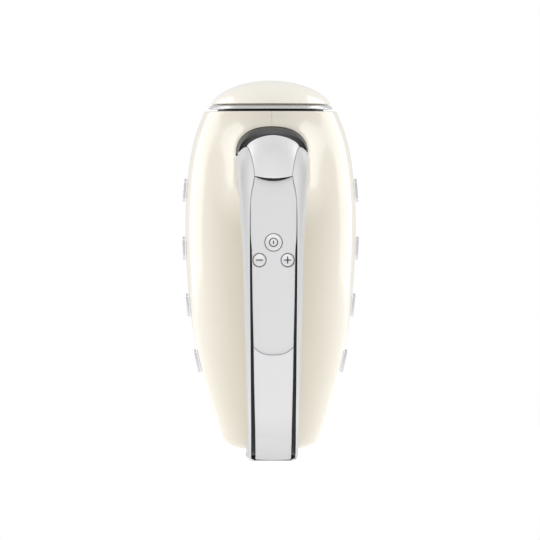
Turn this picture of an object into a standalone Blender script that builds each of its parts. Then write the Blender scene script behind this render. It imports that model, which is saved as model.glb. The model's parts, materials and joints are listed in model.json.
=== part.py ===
"""Retro hand mixer, standing on its heel with the nose up. Dimensions are in millimetres, meshes in metres.

Frame: +Z runs from the heel up to the nose, -Y is the handle side, +Y is the side the beaters leave from,
and the origin is on the floor, on the line of the body's axis.
"""

import math

import bmesh
import bpy

MM = 0.001
GAP = 0.3                    # clearance left between neighbouring pieces

# Body: an egg drawn out along Z, cut flat at the nose.
REAR_Z = 5.0                 # lowest point of the body, above the floor
NOSE_Z = 183.8               # flat end face behind the nose ring
WALL = 2.4
BODY_POWER = 2.2             # exponent of the superellipse sections
REAR_ROUNDING = 10.0         # height over which the rear end rounds off
REAR_STEPS = (0.02, 0.4, 1.4, 3.2, 6.0, 10.0)
# (height, half width, handle-side half height, beater-side half height)
BODY_STATIONS = [
    (5.0, 23.6, 20.0, 22.0),
    (25.0, 30.2, 26.0, 28.0),
    (50.0, 37.4, 32.5, 34.5),
    (80.0, 42.6, 37.5, 39.5),
    (122.0, 45.1, 40.5, 43.0),
    (152.0, 43.5, 40.3, 42.3),
    (170.0, 40.1, 38.0, 39.3),
    (183.8, 35.0, 34.6, 35.0),
]
COLLAR_HEIGHT = 7.0          # how far the body rises round the foot of the handle
COLLAR_REACH = 14.0

# Nose: a chromed ring and a cream cap on a dark neck.
NECK_RADIUS = 28.0
RING_Z = (185.05, 187.5)
RING_RADIUS = (33.05, 30.6)
CAP_CENTRE_Z = 182.4
CAP_RADIUS = 33.3
CAP_HEIGHT = 17.8
CAP_EDGE = 31.6
CAP_BASE_Z = 187.8

# Handle: a strap that rises from the body, runs back along it and turns under its rear end as the heel.
COLUMN_FRONT_Z = 164.5
COLUMN_BACK_Z = 134.5
COLUMN_FOOT_Y = -28.0
TOP_Y = -96.0
TOP_CORNER = 16.0            # radius of the handle's front top corner
GRIP_UNDER_Y = -69.0
FINGER_CORNER = 10.0         # radius inside the finger opening, at the front
REAR_TOP_Y = -93.0
REAR_CORNER = 13.0
HEEL_EDGE_Z = 0.4            # the strap's lower edges, just clear of the floor
WEB_TOP_Z = 16.0
REAR_FINGER_CORNER = 9.0
HEEL_END_Y = 22.0
TONGUE_TOP_Z = 4.3
TOP_CROWN = 2.6              # how far the grip's back arches
STRAP_FLOOR = 2.5            # thickness of the strap on the finger side

# Widths along the strap. A place is the number of the leg it is on plus the share of that leg.
# Legs: 0 column, 1 column top, 2 front corner, 3 grip, 4 rear corner, 5 heel.
OUTER_HALF = [(0, 19.2), (1, 18.9), (2, 18.3), (2.6, 18.0), (3, 17.15), (3.1, 16.5), (3.2, 16.0), (3.3, 15.65),
              (3.5, 15.15), (3.7, 14.6), (3.8, 14.3), (3.9, 13.95), (4, 13.5), (4.5, 13.2), (6, 13.0)]
INNER_HALF = [(0, 17.3), (1, 16.8), (1.70, 16.2), (1.95, 14.0), (2, 13.9), (2.4, 12.2), (2.85, 10.2), (3, 10.3),
              (3.026, 11.0), (3.05, 11.65), (3.075, 12.1), (3.13, 12.4), (3.28, 12.45), (3.48, 12.3),
              (3.64, 12.1), (3.79, 11.95), (4, 11.7), (6, 11.6)]
TAPER = [(0, 0.095), (2, 0.095), (3, 0.0), (6, 0.0)]     # how far the flanks draw in towards the finger side
EDGE_DEPTH = [(0, 3.8), (1.74, 4.4), (1.9, 0.6), (2, 0.0), (6, 0.0)]
PANEL_HALF = [(2.9, 12.1), (3.2, 12.1), (3.24, 11.9), (3.28, 11.45), (3.36, 11.25), (3.48, 11.0), (3.55, 10.8),
              (3.635, 10.52), (3.79, 10.18), (3.87, 9.92), (3.947, 9.69), (4, 9.55), (5.1, 9.2)]
GRIP_LENGTH = 134.7          # length of leg 3

# Display lens over the column's front.
LENS_FOOT_Y, LENS_HEAD_Y = -36.0, -73.2
LENS_BACK_Z = 161.0
LENS_HALF = [(-73.2, 17.9), (-47.0, 18.9), (-36.0, 19.0)]
LENS_BULGE = [(-73.2, 11.0), (-71, 11.9), (-68, 12.7), (-60, 13.7), (-36, 14.6)]
LENS_WALL = [(-73.2, 0.7), (-68, 1.1), (-60, 1.6), (-36, 1.6)]
LENS_POWER = 2.3

HEEL_SCREW_X = 7.0

# Eject button, at the handle's front top corner.
EJECT_Z = 157.0
EJECT_WALL = 1.9
EJECT_START = 1.731
EJECT_POWER = 1.7
EJECT_END = (-0.9, 1.4)      # its lower edge: distance past the corner at the sides, and how much more at mid-width
PANEL_START = (-0.75, 2.4)   # the same for the control panel's upper edge

# Speed buttons in the control panel.
BUTTONS = {                  # name: (x, z, radius)
    "power_button": (0.0, 114.5, 4.5),
    "minus_button": (-7.4, 105.2, 3.35),
    "plus_button": (7.4, 105.2, 3.35),
}
BUTTON_TOP_Y = -94.5
BUTTON_FOOT_Y = -91.9
STEM_FOOT_Y = -90.9
BOARD_Y = (-88.0, -86.4)

# Drive train: the motor lies along Z, its worm turns two wheels, whose spindles run along Y.
DRIVE_Y = 5.0
SPINDLE_Z = 155.0
SPINDLE_X = 18.0             # worm pitch radius plus wheel pitch radius
WORM_STARTS, WHEEL_TEETH, MODULE = 2, 28, 1.0
WORM_RADIUS = 4.0
WORM_ROOT, WORM_TIP = 2.9, 4.8
WORM_SPAN = (146.0, 164.0)
WHEEL_RADIUS = WHEEL_TEETH * MODULE / 2
WHEEL_ROOT, WHEEL_TIP = 12.85, 14.75
WHEEL_HALF_WIDTH = 3.2
SHAFT_RADIUS = 2.5
SHAFT_SPAN = (16.0, 172.0)
SPINDLE_SPAN = (-6.0, 46.8)
SPINDLE_RADII = (3.6, 5.5)

# Stator and armature.
STATOR_SPAN = (46.0, 82.0)
STATOR_HALF = 21.0
STATOR_BORE = 16.2
ARMATURE_RADIUS = 15.5
COIL_RADIUS = 17.6

# Underside.
COWL_Y = (27.0, 45.0)
COWL_FOOT = (33.0, 19.6)
COWL_FACE = (28.0, 17.0)
PLATE_Y = (42.5, 47.0)
SOCKET_HOLE = 6.6
VENT_Z, VENT_PITCH, VENT_COUNT = 66.0, 6.0, 6
GLAND_Z = 27.0

# Beaters.
BEATER_TOP_Y = -4.5
BEATER_SHAFT = 3.1
BEATER_HUB_Y = 88.0
BEATER_TIP_Y = 172.0
BEATER_HALF = 20.6
WIRE = 1.25
BEATER_PHASE = math.radians(22.5)

# Chrome dashes along each side of the body.
DASH_HEIGHTS = [142.0, 111.5, 81.5, 52.0]
DASH_LENGTH, DASH_WIDTH, DASH_THICKNESS = 12.4, 4.6, 1.5


# ---------------------------------------------------------------- helpers

def clear_scene():
    for obj in list(bpy.data.objects):
        bpy.data.objects.remove(obj, do_unlink=True)


def material(name, colour, roughness, metallic=0.0):
    mat = bpy.data.materials.new(name)
    mat.use_nodes = True
    shader = mat.node_tree.nodes["Principled BSDF"]
    shader.inputs["Base Color"].default_value = (*colour, 1.0)
    shader.inputs["Roughness"].default_value = roughness
    shader.inputs["Metallic"].default_value = metallic
    mat.diffuse_color = (*colour, 1.0)
    return mat


def solid(name, points, faces, mat=None):
    """An object from points in millimetres and faces, with doubles merged and faces pointing out."""
    mesh = bpy.data.meshes.new(name)
    mesh.from_pydata([(x * MM, y * MM, z * MM) for x, y, z in points], [], faces)
    work = bmesh.new()
    work.from_mesh(mesh)
    bmesh.ops.remove_doubles(work, verts=work.verts, dist=1e-7)
    bmesh.ops.dissolve_degenerate(work, edges=work.edges, dist=1e-7)
    bmesh.ops.recalc_face_normals(work, faces=work.faces)
    work.to_mesh(mesh)
    work.free()
    obj = bpy.data.objects.new(name, mesh)
    bpy.context.scene.collection.objects.link(obj)
    finish(obj, mat)
    return obj


def finish(obj, mat):
    if mat:
        obj.data.materials.clear()
        obj.data.materials.append(mat)
    obj.data.shade_smooth()
    obj.data.set_sharp_from_angle(angle=math.radians(32))


def boolean(obj, other, operation):
    """Applies one exact Boolean to obj and removes the other object."""
    step = obj.modifiers.new(operation, "BOOLEAN")
    step.operation = operation
    step.object = other
    step.solver = "EXACT"
    graph = bpy.context.evaluated_depsgraph_get()
    mesh = bpy.data.meshes.new_from_object(obj.evaluated_get(graph))
    obj.modifiers.clear()
    obj.data = mesh
    bpy.data.objects.remove(other, do_unlink=True)
    obj.data.set_sharp_from_angle(angle=math.radians(32))
    return obj


def carve(obj, *cutters):
    for cutter in cutters:
        boolean(obj, cutter, "DIFFERENCE")
    return obj


def fuse(obj, *others):
    for other in others:
        boolean(obj, other, "UNION")
    return obj


def set_origin(obj, x, y, z):
    """Moves the object's origin to a point on its joint's axis, leaving the shape where it is."""
    for vertex in obj.data.vertices:
        vertex.co.x -= x * MM
        vertex.co.y -= y * MM
        vertex.co.z -= z * MM
    obj.location = (x * MM, y * MM, z * MM)
    return obj


def loft(name, rings, mat=None, closed=False):
    """A solid through rings of equal length; closed joins the last ring to the first."""
    count = len(rings[0])
    points = [point for ring in rings for point in ring]
    faces = []
    for i in range(len(rings) if closed else len(rings) - 1):
        here, there = i * count, (i + 1) % len(rings) * count
        for j in range(count):
            k = (j + 1) % count
            faces.append((here + j, here + k, there + k, there + j))
    if not closed:
        faces.append(tuple(reversed(range(count))))
        faces.append(tuple(range((len(rings) - 1) * count, len(rings) * count)))
    return solid(name, points, faces, mat)


def slab(name, outer, inner, mat=None):
    """A closed plate between two grids of points of equal size."""
    rows, cols = len(outer), len(outer[0])
    points = [point for row in outer for point in row] + [point for row in inner for point in row]
    base = rows * cols
    faces = []
    for i in range(rows - 1):
        for j in range(cols - 1):
            a, b = i * cols + j, (i + 1) * cols + j
            faces.append((a, a + 1, b + 1, b))
            faces.append((base + a, base + b, base + b + 1, base + a + 1))
    rim = [j for j in range(cols)]
    rim += [i * cols + cols - 1 for i in range(1, rows)]
    rim += [(rows - 1) * cols + j for j in range(cols - 2, -1, -1)]
    rim += [i * cols for i in range(rows - 2, 0, -1)]
    for a, b in zip(rim, rim[1:] + rim[:1]):
        faces.append((a, base + a, base + b, b))
    return solid(name, points, faces, mat)


def turned(name, profile, centre, axis, mat=None, steps=24):
    """A solid of revolution. The profile, (radius, distance along axis), ends on the axis or closes on itself."""
    along = {"X": lambda u, v, w: (w, u, v), "Y": lambda u, v, w: (u, w, v), "Z": lambda u, v, w: (u, v, w)}[axis]
    on_axis = profile[0][0] == 0 and profile[-1][0] == 0
    points, faces = [], []
    for i in range(steps):
        turn = 2 * math.pi * i / steps
        for radius, height in profile:
            x, y, z = along(radius * math.cos(turn), radius * math.sin(turn), height)
            points.append((centre[0] + x, centre[1] + y, centre[2] + z))
    count = len(profile)
    for i in range(steps):
        here, there = i * count, (i + 1) % steps * count
        for j in range(count - 1 if on_axis else count):
            k = (j + 1) % count
            faces.append((here + j, here + k, there + k, there + j))
    return solid(name, points, faces, mat)


def cylinder(name, radius, span, centre, axis, mat=None, steps=24):
    low, high = span
    return turned(name, [(0, low), (radius, low), (radius, high), (0, high)], centre, axis, mat, steps)


def tube(name, radii, span, centre, axis, mat=None, steps=24):
    (bore, outside), (low, high) = radii, span
    profile = [(bore, low), (outside, low), (outside, high), (bore, high)]
    return turned(name, profile, centre, axis, mat, steps)


def box(name, low, high, mat=None):
    corners = [(x, y, z) for x in (low[0], high[0]) for y in (low[1], high[1]) for z in (low[2], high[2])]
    faces = [(0, 1, 3, 2), (4, 6, 7, 5), (0, 4, 5, 1), (2, 3, 7, 6), (0, 2, 6, 4), (1, 5, 7, 3)]
    return solid(name, corners, faces, mat)


def prism(name, outline, span, axis, mat=None):
    """An outline extruded along an axis. The outline's pair is (x, z) on Y, (x, y) on Z and (y, z) on X."""
    put = {"X": lambda a, b, c: (c, a, b), "Y": lambda a, b, c: (a, c, b), "Z": lambda a, b, c: (a, b, c)}[axis]
    return loft(name, [[put(a, b, c) for a, b in outline] for c in span], mat)


def rounded_rectangle(half_x, half_y, radius, steps=6, centre=(0.0, 0.0)):
    outline = []
    for corner in range(4):
        turn = corner * math.pi / 2
        cx = (half_x - radius) * (1 if corner in (0, 3) else -1)
        cy = (half_y - radius) * (1 if corner in (0, 1) else -1)
        for i in range(steps + 1):
            angle = turn + math.pi / 2 * i / steps
            outline.append((centre[0] + cx + radius * math.cos(angle), centre[1] + cy + radius * math.sin(angle)))
    return outline


def wire(name, points, radius, mat, sides=2, cyclic=False, keep_curve=False):
    """A round bar along a list of points."""
    curve = bpy.data.curves.new(name, "CURVE")
    curve.dimensions = "3D"
    curve.bevel_depth = radius * MM
    curve.bevel_resolution = sides
    curve.use_fill_caps = True
    spline = curve.splines.new("POLY")
    spline.points.add(len(points) - 1)
    for knot, (x, y, z) in zip(spline.points, points):
        knot.co = (x * MM, y * MM, z * MM, 1.0)
    spline.use_cyclic_u = cyclic
    if mat:
        curve.materials.append(mat)
    obj = bpy.data.objects.new(name, curve)
    bpy.context.scene.collection.objects.link(obj)
    if keep_curve:
        return obj
    graph = bpy.context.evaluated_depsgraph_get()
    mesh = bpy.data.meshes.new_from_object(obj.evaluated_get(graph))
    bpy.data.objects.remove(obj, do_unlink=True)
    work = bmesh.new()
    work.from_mesh(mesh)
    bmesh.ops.remove_doubles(work, verts=work.verts, dist=1e-6)
    bmesh.ops.recalc_face_normals(work, faces=work.faces)
    work.to_mesh(mesh)
    work.free()
    obj = bpy.data.objects.new(name, mesh)
    bpy.context.scene.collection.objects.link(obj)
    finish(obj, mat)
    return obj


def at(table, place):
    """The value of a (place, value) table at a place, on straight lines between its rows."""
    for (p0, v0), (p1, v1) in zip(table, table[1:]):
        if place <= p1:
            return v0 + (v1 - v0) * max(0.0, place - p0) / (p1 - p0)
    return table[-1][1]


def smooth_at(stations, z):
    """The columns of a station table at height z, on a Catmull-Rom spline through its rows."""
    last = len(stations) - 1
    i = max(0, min(last - 1, sum(z >= row[0] for row in stations) - 1))
    p1, p2 = stations[i], stations[i + 1]
    p0 = stations[i - 1] if i else tuple(2 * a - b for a, b in zip(p1, p2))
    p3 = stations[i + 2] if i + 2 <= last else tuple(2 * b - a for a, b in zip(p1, p2))
    span = p2[0] - p1[0]
    t = (z - p1[0]) / span
    found = []
    for c in range(1, len(p1)):
        m1 = (p2[c] - p0[c]) / (p2[0] - p0[0]) * span
        m2 = (p3[c] - p1[c]) / (p3[0] - p1[0]) * span
        found.append((2 * t**3 - 3 * t**2 + 1) * p1[c] + (t**3 - 2 * t**2 + t) * m1
                     + (3 * t**2 - 2 * t**3) * p2[c] + (t**3 - t**2) * m2)
    return found


def power(value, exponent):
    return math.copysign(abs(value) ** exponent, value)


# ---------------------------------------------------------------- body

def collar_rise(x, z):
    """How far the body's handle side is raised at (x, z), highest at the foot of the handle."""
    reach_x, reach_z, corner = 19.4, 20.7, 13.0
    middle_z = (COLUMN_BACK_Z + 175.9) / 2
    dx = max(abs(x) - (reach_x - corner), 0.0)
    dz = max(abs(z - middle_z) - (reach_z - corner), 0.0)
    distance = max(math.hypot(dx, dz) - corner, 0.0)
    return COLLAR_HEIGHT * max(0.0, 1 - distance / COLLAR_REACH) ** 2.4


def body_ring(z, grow=0.0, collar=True, steps=44):
    half_x, half_handle, half_beater = smooth_at(BODY_STATIONS, z)
    share = max(0.0, min(1.0, (z - REAR_Z) / REAR_ROUNDING))
    closing = (1 - (1 - share) ** 4) ** (1 / 4)
    ring = []
    for i in range(steps):
        turn = 2 * math.pi * i / steps
        c, s = power(math.cos(turn), 2 / BODY_POWER), power(math.sin(turn), 2 / BODY_POWER)
        x = (half_x * closing + grow) * c
        y = ((half_beater if s > 0 else half_handle) * closing + grow) * s
        if collar and s < 0:
            y -= collar_rise(x, z)
        ring.append((x, y, z))
    return ring


def body_block(name, heights, grow=0.0, collar=True, steps=44):
    return loft(name, [body_ring(z, grow, collar, steps) for z in heights])


def column_outline(grow, steps=8):
    """The handle column's outline at its foot, as (x, z): a rounded front over a squarer back."""
    half_x, front, corner = 19.3 + grow, 175.7 - LENS_BACK_Z + grow, 6.4 + grow
    outline = []
    for i in range(2 * steps + 1):
        turn = math.pi * i / (2 * steps)
        outline.append((half_x * power(math.cos(turn), 2 / LENS_POWER),
                        LENS_BACK_Z + front * power(math.sin(turn), 2 / LENS_POWER)))
    for side in (-1, 1):
        for i in range(5):
            turn = math.pi / 8 * (i if side < 0 else 4 - i)
            outline.append((side * (half_x - 1.1 - corner + corner * math.cos(turn)),
                            COLUMN_BACK_Z - grow + corner - corner * math.sin(turn)))
    return outline


def make_housings(cream):
    rear = [REAR_Z + d for d in REAR_STEPS]
    middle = [28, 42, 58, 76, 94, 108, 118, 126, 133.5]
    front = [139, 147, 156, 165, 172, 178, NOSE_Z]
    shell = body_block("housing", rear + middle + front)
    within = [REAR_Z + WALL + d for d in (0.02, 1.5, 4.5)] + [18, 32, 55, 85, 118, 150, 168, NOSE_Z - WALL]
    carve(shell, body_block("hollow", within, -WALL, False, 28))
    carve(shell,
          cylinder("nose_opening", NECK_RADIUS + 0.4, (170, 190), (0, 0, 0), "Z", steps=48),
          prism("column_opening", column_outline(0.35), (-70, -18), "Y"),
          loft("cowl_opening", cowl_rings(0.35, (20.0, 60.0))),
          cylinder("gland_hole", 5.4, (10, 45), (0, 0, GLAND_Z), "Y", steps=20))
    for row in range(VENT_COUNT):
        z = VENT_Z + VENT_PITCH * row
        carve(shell, box("vent_slot", (3.0, 25, z - 1.2), (17.0 - 0.5 * abs(row - 2.5), 60, z + 1.2)))
    carve(shell, cylinder("heel_screw_hole", 1.8, (0, 12), (HEEL_SCREW_X, 0, 0), "Z", steps=12),
          box("other_half", (-70, -80, -10), (0.12, 80, 220)))
    shell.name = "housing_right"
    finish(shell, cream)
    mirrored(shell, "housing_left")


def mirrored(obj, name):
    """The other hand of an object, as an object of its own."""
    points = [(-v.co.x / MM, v.co.y / MM, v.co.z / MM) for v in obj.data.vertices]
    faces = [tuple(reversed(face.vertices)) for face in obj.data.polygons]
    return solid(name, points, faces, obj.data.materials[0])


def cowl_rings(grow, span):
    """The gear cowl's outline at the ends of a span along Y, drawn in from its foot to its face."""
    rings = []
    for y in span:
        share = (y - COWL_Y[0]) / (COWL_Y[1] - COWL_Y[0])
        half = [foot + (face - foot) * share + grow for foot, face in zip(COWL_FOOT, COWL_FACE)]
        outline = rounded_rectangle(half[0], half[1], min(half) - 1.0, 7, (0.0, SPINDLE_Z))
        rings.append([(x, y, z) for x, z in outline])
    return rings


def make_underside(cream, dark, rubber):
    cowl = loft("gear_cowl", cowl_rings(0.0, COWL_Y), cream)
    carve(cowl, loft("cowl_hollow", cowl_rings(-2.2, (20.0, 50.0))))
    rings = []
    for y, hx, hz in ((PLATE_Y[0], 25.3, 14.3), (PLATE_Y[1] - 1.0, 25.0, 14.0), (PLATE_Y[1], 24.0, 13.0)):
        rings.append([(x, y, z) for x, z in rounded_rectangle(hx, hz, hz - 1.0, 7, (0.0, SPINDLE_Z))])
    plate = loft("socket_plate", rings, dark)
    for side in (-1, 1):
        carve(plate, cylinder("socket_hole", SOCKET_HOLE, (30, 60), (side * SPINDLE_X, 0, SPINDLE_Z), "Y"))
    profile = [(2.9, 20.6), (7.2, 20.6), (7.2, 22.6), (5.0, 23.0), (5.0, 30.6), (6.4, 31.6), (6.0, 35.5),
               (4.6, 36.5), (2.9, 36.5)]
    gland = turned("cord_gland", profile, (0, 0, GLAND_Z), "Y", rubber, 20)
    return cowl, plate, gland


# ---------------------------------------------------------------- nose

def make_nose(cream, chrome, dark):
    low, high = RING_Z
    neck = [(25.5, 178.4), (31.0, 178.4), (31.0, 181.0), (NECK_RADIUS, 181.0), (NECK_RADIUS, low - GAP),
            (24.0, low - GAP), (24.0, 189.5), (22.0, 189.5), (22.0, 183.0), (25.5, 183.0)]
    turned("nose_neck", neck, (0, 0, 0), "Z", dark, 32)
    ring = [(24.4, low), (RING_RADIUS[0] - 0.3, low), (RING_RADIUS[0], low + 0.3), (32.0, low + 1.5),
            (RING_RADIUS[1], high), (24.4, high)]
    turned("nose_ring", ring, (0, 0, 0), "Z", chrome, 40)
    outer, inner = [], []
    for i in range(8):
        radius = CAP_EDGE * math.sin(math.pi / 2 * i / 7)
        outer.append((radius, cap_height(radius)))
    for i in range(5):
        radius = 29.0 * (1 - i / 4)
        inner.append((radius, max(CAP_BASE_Z, cap_height(radius) - 2.6)))
    profile = [*outer, (CAP_EDGE, CAP_BASE_Z), (29.0, CAP_BASE_Z), *inner[1:]]
    turned("nose_cap", profile, (0, 0, 0), "Z", cream, 32)


def cap_height(radius):
    return CAP_CENTRE_Z + CAP_HEIGHT * math.sqrt(1 - (radius / CAP_RADIUS) ** 2)


# ---------------------------------------------------------------- handle

def arc(centre, radius, first, last, share):
    """A point (y, z) on an arc; angles are in degrees from +Z towards -Y."""
    turn = math.radians(first + (last - first) * share)
    return centre[0] - radius * math.sin(turn), centre[1] + radius * math.cos(turn)


def bowed(start, end, bow, share):
    """A point (y, z) between two points, bowed towards -Y."""
    y = start[0] + (end[0] - start[0]) * share - bow * 4 * share * (1 - share)
    return y, start[1] + (end[1] - start[1]) * share


def rib(place):
    """The strap's outer and finger-side points (y, z) at a place along it."""
    leg = min(int(place), 5)
    share = place - leg
    front = (TOP_Y + TOP_CORNER, COLUMN_FRONT_Z - TOP_CORNER)
    rear = (REAR_TOP_Y + REAR_CORNER, HEEL_EDGE_Z + REAR_CORNER)
    finger_front = (GRIP_UNDER_Y + FINGER_CORNER, COLUMN_BACK_Z - FINGER_CORNER)
    finger_rear = (GRIP_UNDER_Y + 3.0 + REAR_FINGER_CORNER, WEB_TOP_Z + REAR_FINGER_CORNER)
    if leg == 0:
        y = COLUMN_FOOT_Y + (finger_front[0] + 3.0 - COLUMN_FOOT_Y) * share
        return (y, COLUMN_FRONT_Z), (y, COLUMN_BACK_Z)
    if leg == 1:
        y = finger_front[0] + 3.0 + (front[0] - finger_front[0] - 3.0) * share
        return (y, COLUMN_FRONT_Z), arc(finger_front, FINGER_CORNER, 0, 40, share)
    if leg == 2:
        return arc(front, TOP_CORNER, 0, 90, share), arc(finger_front, FINGER_CORNER, 40, 90, share)
    if leg == 3:
        top = bowed((TOP_Y, front[1]), (REAR_TOP_Y, rear[1]), TOP_CROWN, share)
        under = bowed((GRIP_UNDER_Y, finger_front[1]), (GRIP_UNDER_Y + 3.0, finger_rear[1]), 1.5, share)
        return top, under
    if leg == 4:
        return arc(rear, REAR_CORNER, 90, 180, share), arc(finger_rear, REAR_FINGER_CORNER, 90, 180, share)
    y = rear[0] + (HEEL_END_Y - rear[0]) * share
    under = [(0.0, WEB_TOP_Z), (0.56, WEB_TOP_Z), (0.68, TONGUE_TOP_Z), (1.0, TONGUE_TOP_Z)]
    lead = (finger_rear[0] - rear[0]) * max(0.0, 1 - share / 0.4)
    return (y, HEEL_EDGE_Z), (y + lead, at(under, share))


def on_rib(place, u, depth):
    """The point at half-width u and a depth below the strap's outer line, at a place along it."""
    (y0, z0), (y1, z1) = rib(place)
    length = math.hypot(y1 - y0, z1 - z0)
    return u, y0 + (y1 - y0) * depth / length, z0 + (z1 - z0) * depth / length


def on_face(place, u, depth):
    """Like on_rib, but with the depth square to the strap's outer line."""
    (ya, za), (yb, zb) = rib(place - 0.004)[0], rib(place + 0.004)[0]
    (y0, z0), _ = rib(place)
    length = math.hypot(yb - ya, zb - za)
    return u, y0 - (zb - za) * depth / length, z0 + (yb - ya) * depth / length


def lean(place):
    """How much further along the strap a point is for each millimetre below its outer line, on the grip."""
    (y0, z0), (y1, z1) = rib(place)
    return (z1 - z0) / (y1 - y0) / GRIP_LENGTH if 3 <= place < 3.68 else 0.0


def rib_length(place):
    (y0, z0), (y1, z1) = rib(place)
    return math.hypot(y1 - y0, z1 - z0)


def frame_section(place):
    """The U-shaped section of the strap, as (u, depth)."""
    outer, inner = at(OUTER_HALF, place), at(INNER_HALF, place)
    edge, deep = at(EDGE_DEPTH, place), rib_length(place)
    shoulder = min(5.0, 0.45 * deep) if edge < 1 else 1.0
    corner = min(7.0, 0.45 * deep)
    floor = min(max(deep - STRAP_FLOOR, 1.3), at([(5.1, 99.0), (5.25, 1.3), (6, 1.3)], place))
    chamfer = min(4.0, 0.6 * (floor - edge))
    right = [(inner, edge)]
    for i in range(4):
        turn = math.pi / 6 * i
        right.append((inner + 0.5 + (outer - inner - 0.5) * power(math.sin(turn), 1.2),
                      edge + shoulder * (1 - power(math.cos(turn), 1.2))))
    for i in range(4):
        turn = math.pi / 6 * i
        right.append((outer - corner + corner * math.cos(turn), deep - corner + corner * math.sin(turn)))
    right = [(u * drawn_in(place, v, deep), v) for u, v in right]
    low = inner * drawn_in(place, floor - chamfer, deep)
    left = [(-u, v) for u, v in reversed(right)]
    channel = [(-low, floor - chamfer), (chamfer - low, floor), (low - chamfer, floor), (low, floor - chamfer)]
    return right + left + channel


def drawn_in(place, depth, deep):
    """The share of its width that the section keeps at a depth."""
    return 1 - at(TAPER, place) * max(0.0, depth - 4.0) / deep


def places(start, end, per_leg):
    """Places from start to end along the strap, per_leg giving how many steps each leg is cut into."""
    found = [start]
    for leg, steps in enumerate(per_leg):
        found += [leg + i / steps for i in range(steps) if start + 0.01 < leg + i / steps < end - 0.01]
    return found + [end]


def knots(start, end):
    """The places where the channel's width changes its course."""
    return [place for place, _ in INNER_HALF if start < place < end]


def make_frame(silver):
    stops = sorted(set(places(0, 6, (1, 3, 5, 5, 5, 5)) + knots(1.7, 4.0) + [1.74, 1.9, 5.1, 5.25, 5.56, 5.68]))
    rings = [[on_rib(p, u, v) for u, v in frame_section(p)] for p in stops]
    frame = loft("handle_frame", rings, silver)
    seat = body_block("rear_seat", [REAR_Z + d for d in REAR_STEPS] + [28, 42], GAP + 0.1, False)
    for vertex in seat.data.vertices:
        vertex.co.z -= 0.35 * MM
    carve(frame, seat)
    for side in (-1, 1):
        carve(frame, screw("heel_screw_hole", heel_screw_place(side), "Z", 1, 9.0, None, GAP))
        x, _, z = mount_screw_place(side)
        fuse(frame, cylinder("boss", 3.4, (-43.0, COLUMN_FOOT_Y - 0.7), (x, 0, z), "Y", steps=12))
        carve(frame, cylinder("screw_hole", 1.8, (-40.5, -20.0), (x, 0, z), "Y", steps=12))
    return frame


def heel_screw_place(side):
    return side * HEEL_SCREW_X, 0.0, 2.2


def mount_screw_place(side):
    return side * 12.0, -24.8, 139.4


def make_core(dark):
    def section(place):
        half, deep = at(INNER_HALF, place) - 0.35, rib_length(place) - STRAP_FLOOR - 0.35
        front = 4.4 * math.hypot(1.0, lean(place) * GRIP_LENGTH)
        return [(half, front), (half, deep - 4.2), (half - 4.2, deep), (4.2 - half, deep), (-half, deep - 4.2),
                (-half, front)]
    stops = sorted(set(places(3.03, 5.08, (2, 4, 6, 5, 5, 5)) + knots(3.04, 4.0)))
    rings = [[on_rib(p, u, v) for u, v in section(p)] for p in stops]
    core = loft("handle_core", rings, dark)
    return carve(core, box("board_pocket", (-9.9, -99, 63), (9.9, -83.5, 139)),
                 box("button_notch", (-13, -99, 100.8), (13, -90.6, 109.6)))


def insert(name, first, last, point, depth, thickness, mat, stops=12, across=8):
    """A plate in the strap's channel. first and last give the places of its ends at a share of its width."""
    outer, inner = [], []
    for i in range(stops + 1):
        top, under = [], []
        for j in range(across + 1):
            share = 2 * j / across - 1
            place = first(share) + (last(share) - first(share)) * i / stops
            v = depth(place, share)
            half = panel_half(place, point(place, 0.0, v + thickness))
            top.append(point(place, half * share, v))
            under.append(point(place, half * share, v + thickness))
        outer.append(top)
        inner.append(under)
    return slab(name, outer, inner, mat)


def panel_half(place, point):
    """Half the width of a plate in the channel, clear of the channel's sides at a point of its underside."""
    return min(at(PANEL_HALF, place), at(INNER_HALF, place_of(point)) - 0.35)


def past_corner(reach):
    """The place at a distance along the outer line from the end of the front corner."""
    return 3 + reach / (GRIP_LENGTH if reach > 0 else TOP_CORNER * math.pi / 2)


def place_of(point):
    """The place whose rib passes through a point of the front corner, the grip or the heel."""
    low, high = 2.0, 6.0
    while high - low > 1e-4:
        place = (low + high) / 2
        (y0, z0), (y1, z1) = rib(place)
        if (y1 - y0) * (point[2] - z0) > (z1 - z0) * (point[1] - y0):
            high = place
        else:
            low = place
    return place


def scoop_depth(place, share):
    """The thumb scoop: hollow at the front, flat further back, rising at its rear edge."""
    hollow = at([(2.9, 1.6), (3.09, 1.5), (3.35, 0.7), (3.6, 0.2), (3.75, 0.0)], place)
    middle = at([(2.9, 2.4), (3.1, 2.4), (3.3, 2.1), (3.62, 1.9), (3.67, 1.7), (3.73, 0.9)], place)
    return middle - hollow * share**2


def panel_start(share):
    return past_corner(PANEL_START[0] + PANEL_START[1] * (1 - share**2))


def panel_end(share):
    return 3.6575 + 0.0304 * (1 - share**4)


def make_panels(satin, silver):
    panel = insert("control_panel", panel_start, panel_end, on_face, scoop_depth, 1.6, satin, 18, 12)
    for name, (x, z, radius) in BUTTONS.items():
        carve(panel, cylinder("button_hole", radius + 0.3, (-110, -80), (x, 0, z), "Y", steps=24))
    insert("rear_panel", lambda share: panel_end(share) + 0.0025, lambda share: 5.06, on_rib,
           lambda place, share: 0.3 + 0.5 * share**2, 1.8, silver, 16, 12)
    return panel


def make_foot(rubber):
    rings = []
    for y, grow in ((-70.0, -2.0), (-69.0, 0.0), (18.0, 0.0), (19.5, -2.5)):
        half = 10.6 + grow
        rings.append([(half, y, 0.0), (half + 0.4, y, 0.6), (half + 0.4, y, 1.4), (-half - 0.4, y, 1.4),
                      (-half - 0.4, y, 0.6), (-half, y, 0.0)])
    return loft("heel_foot", rings, rubber)


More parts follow.
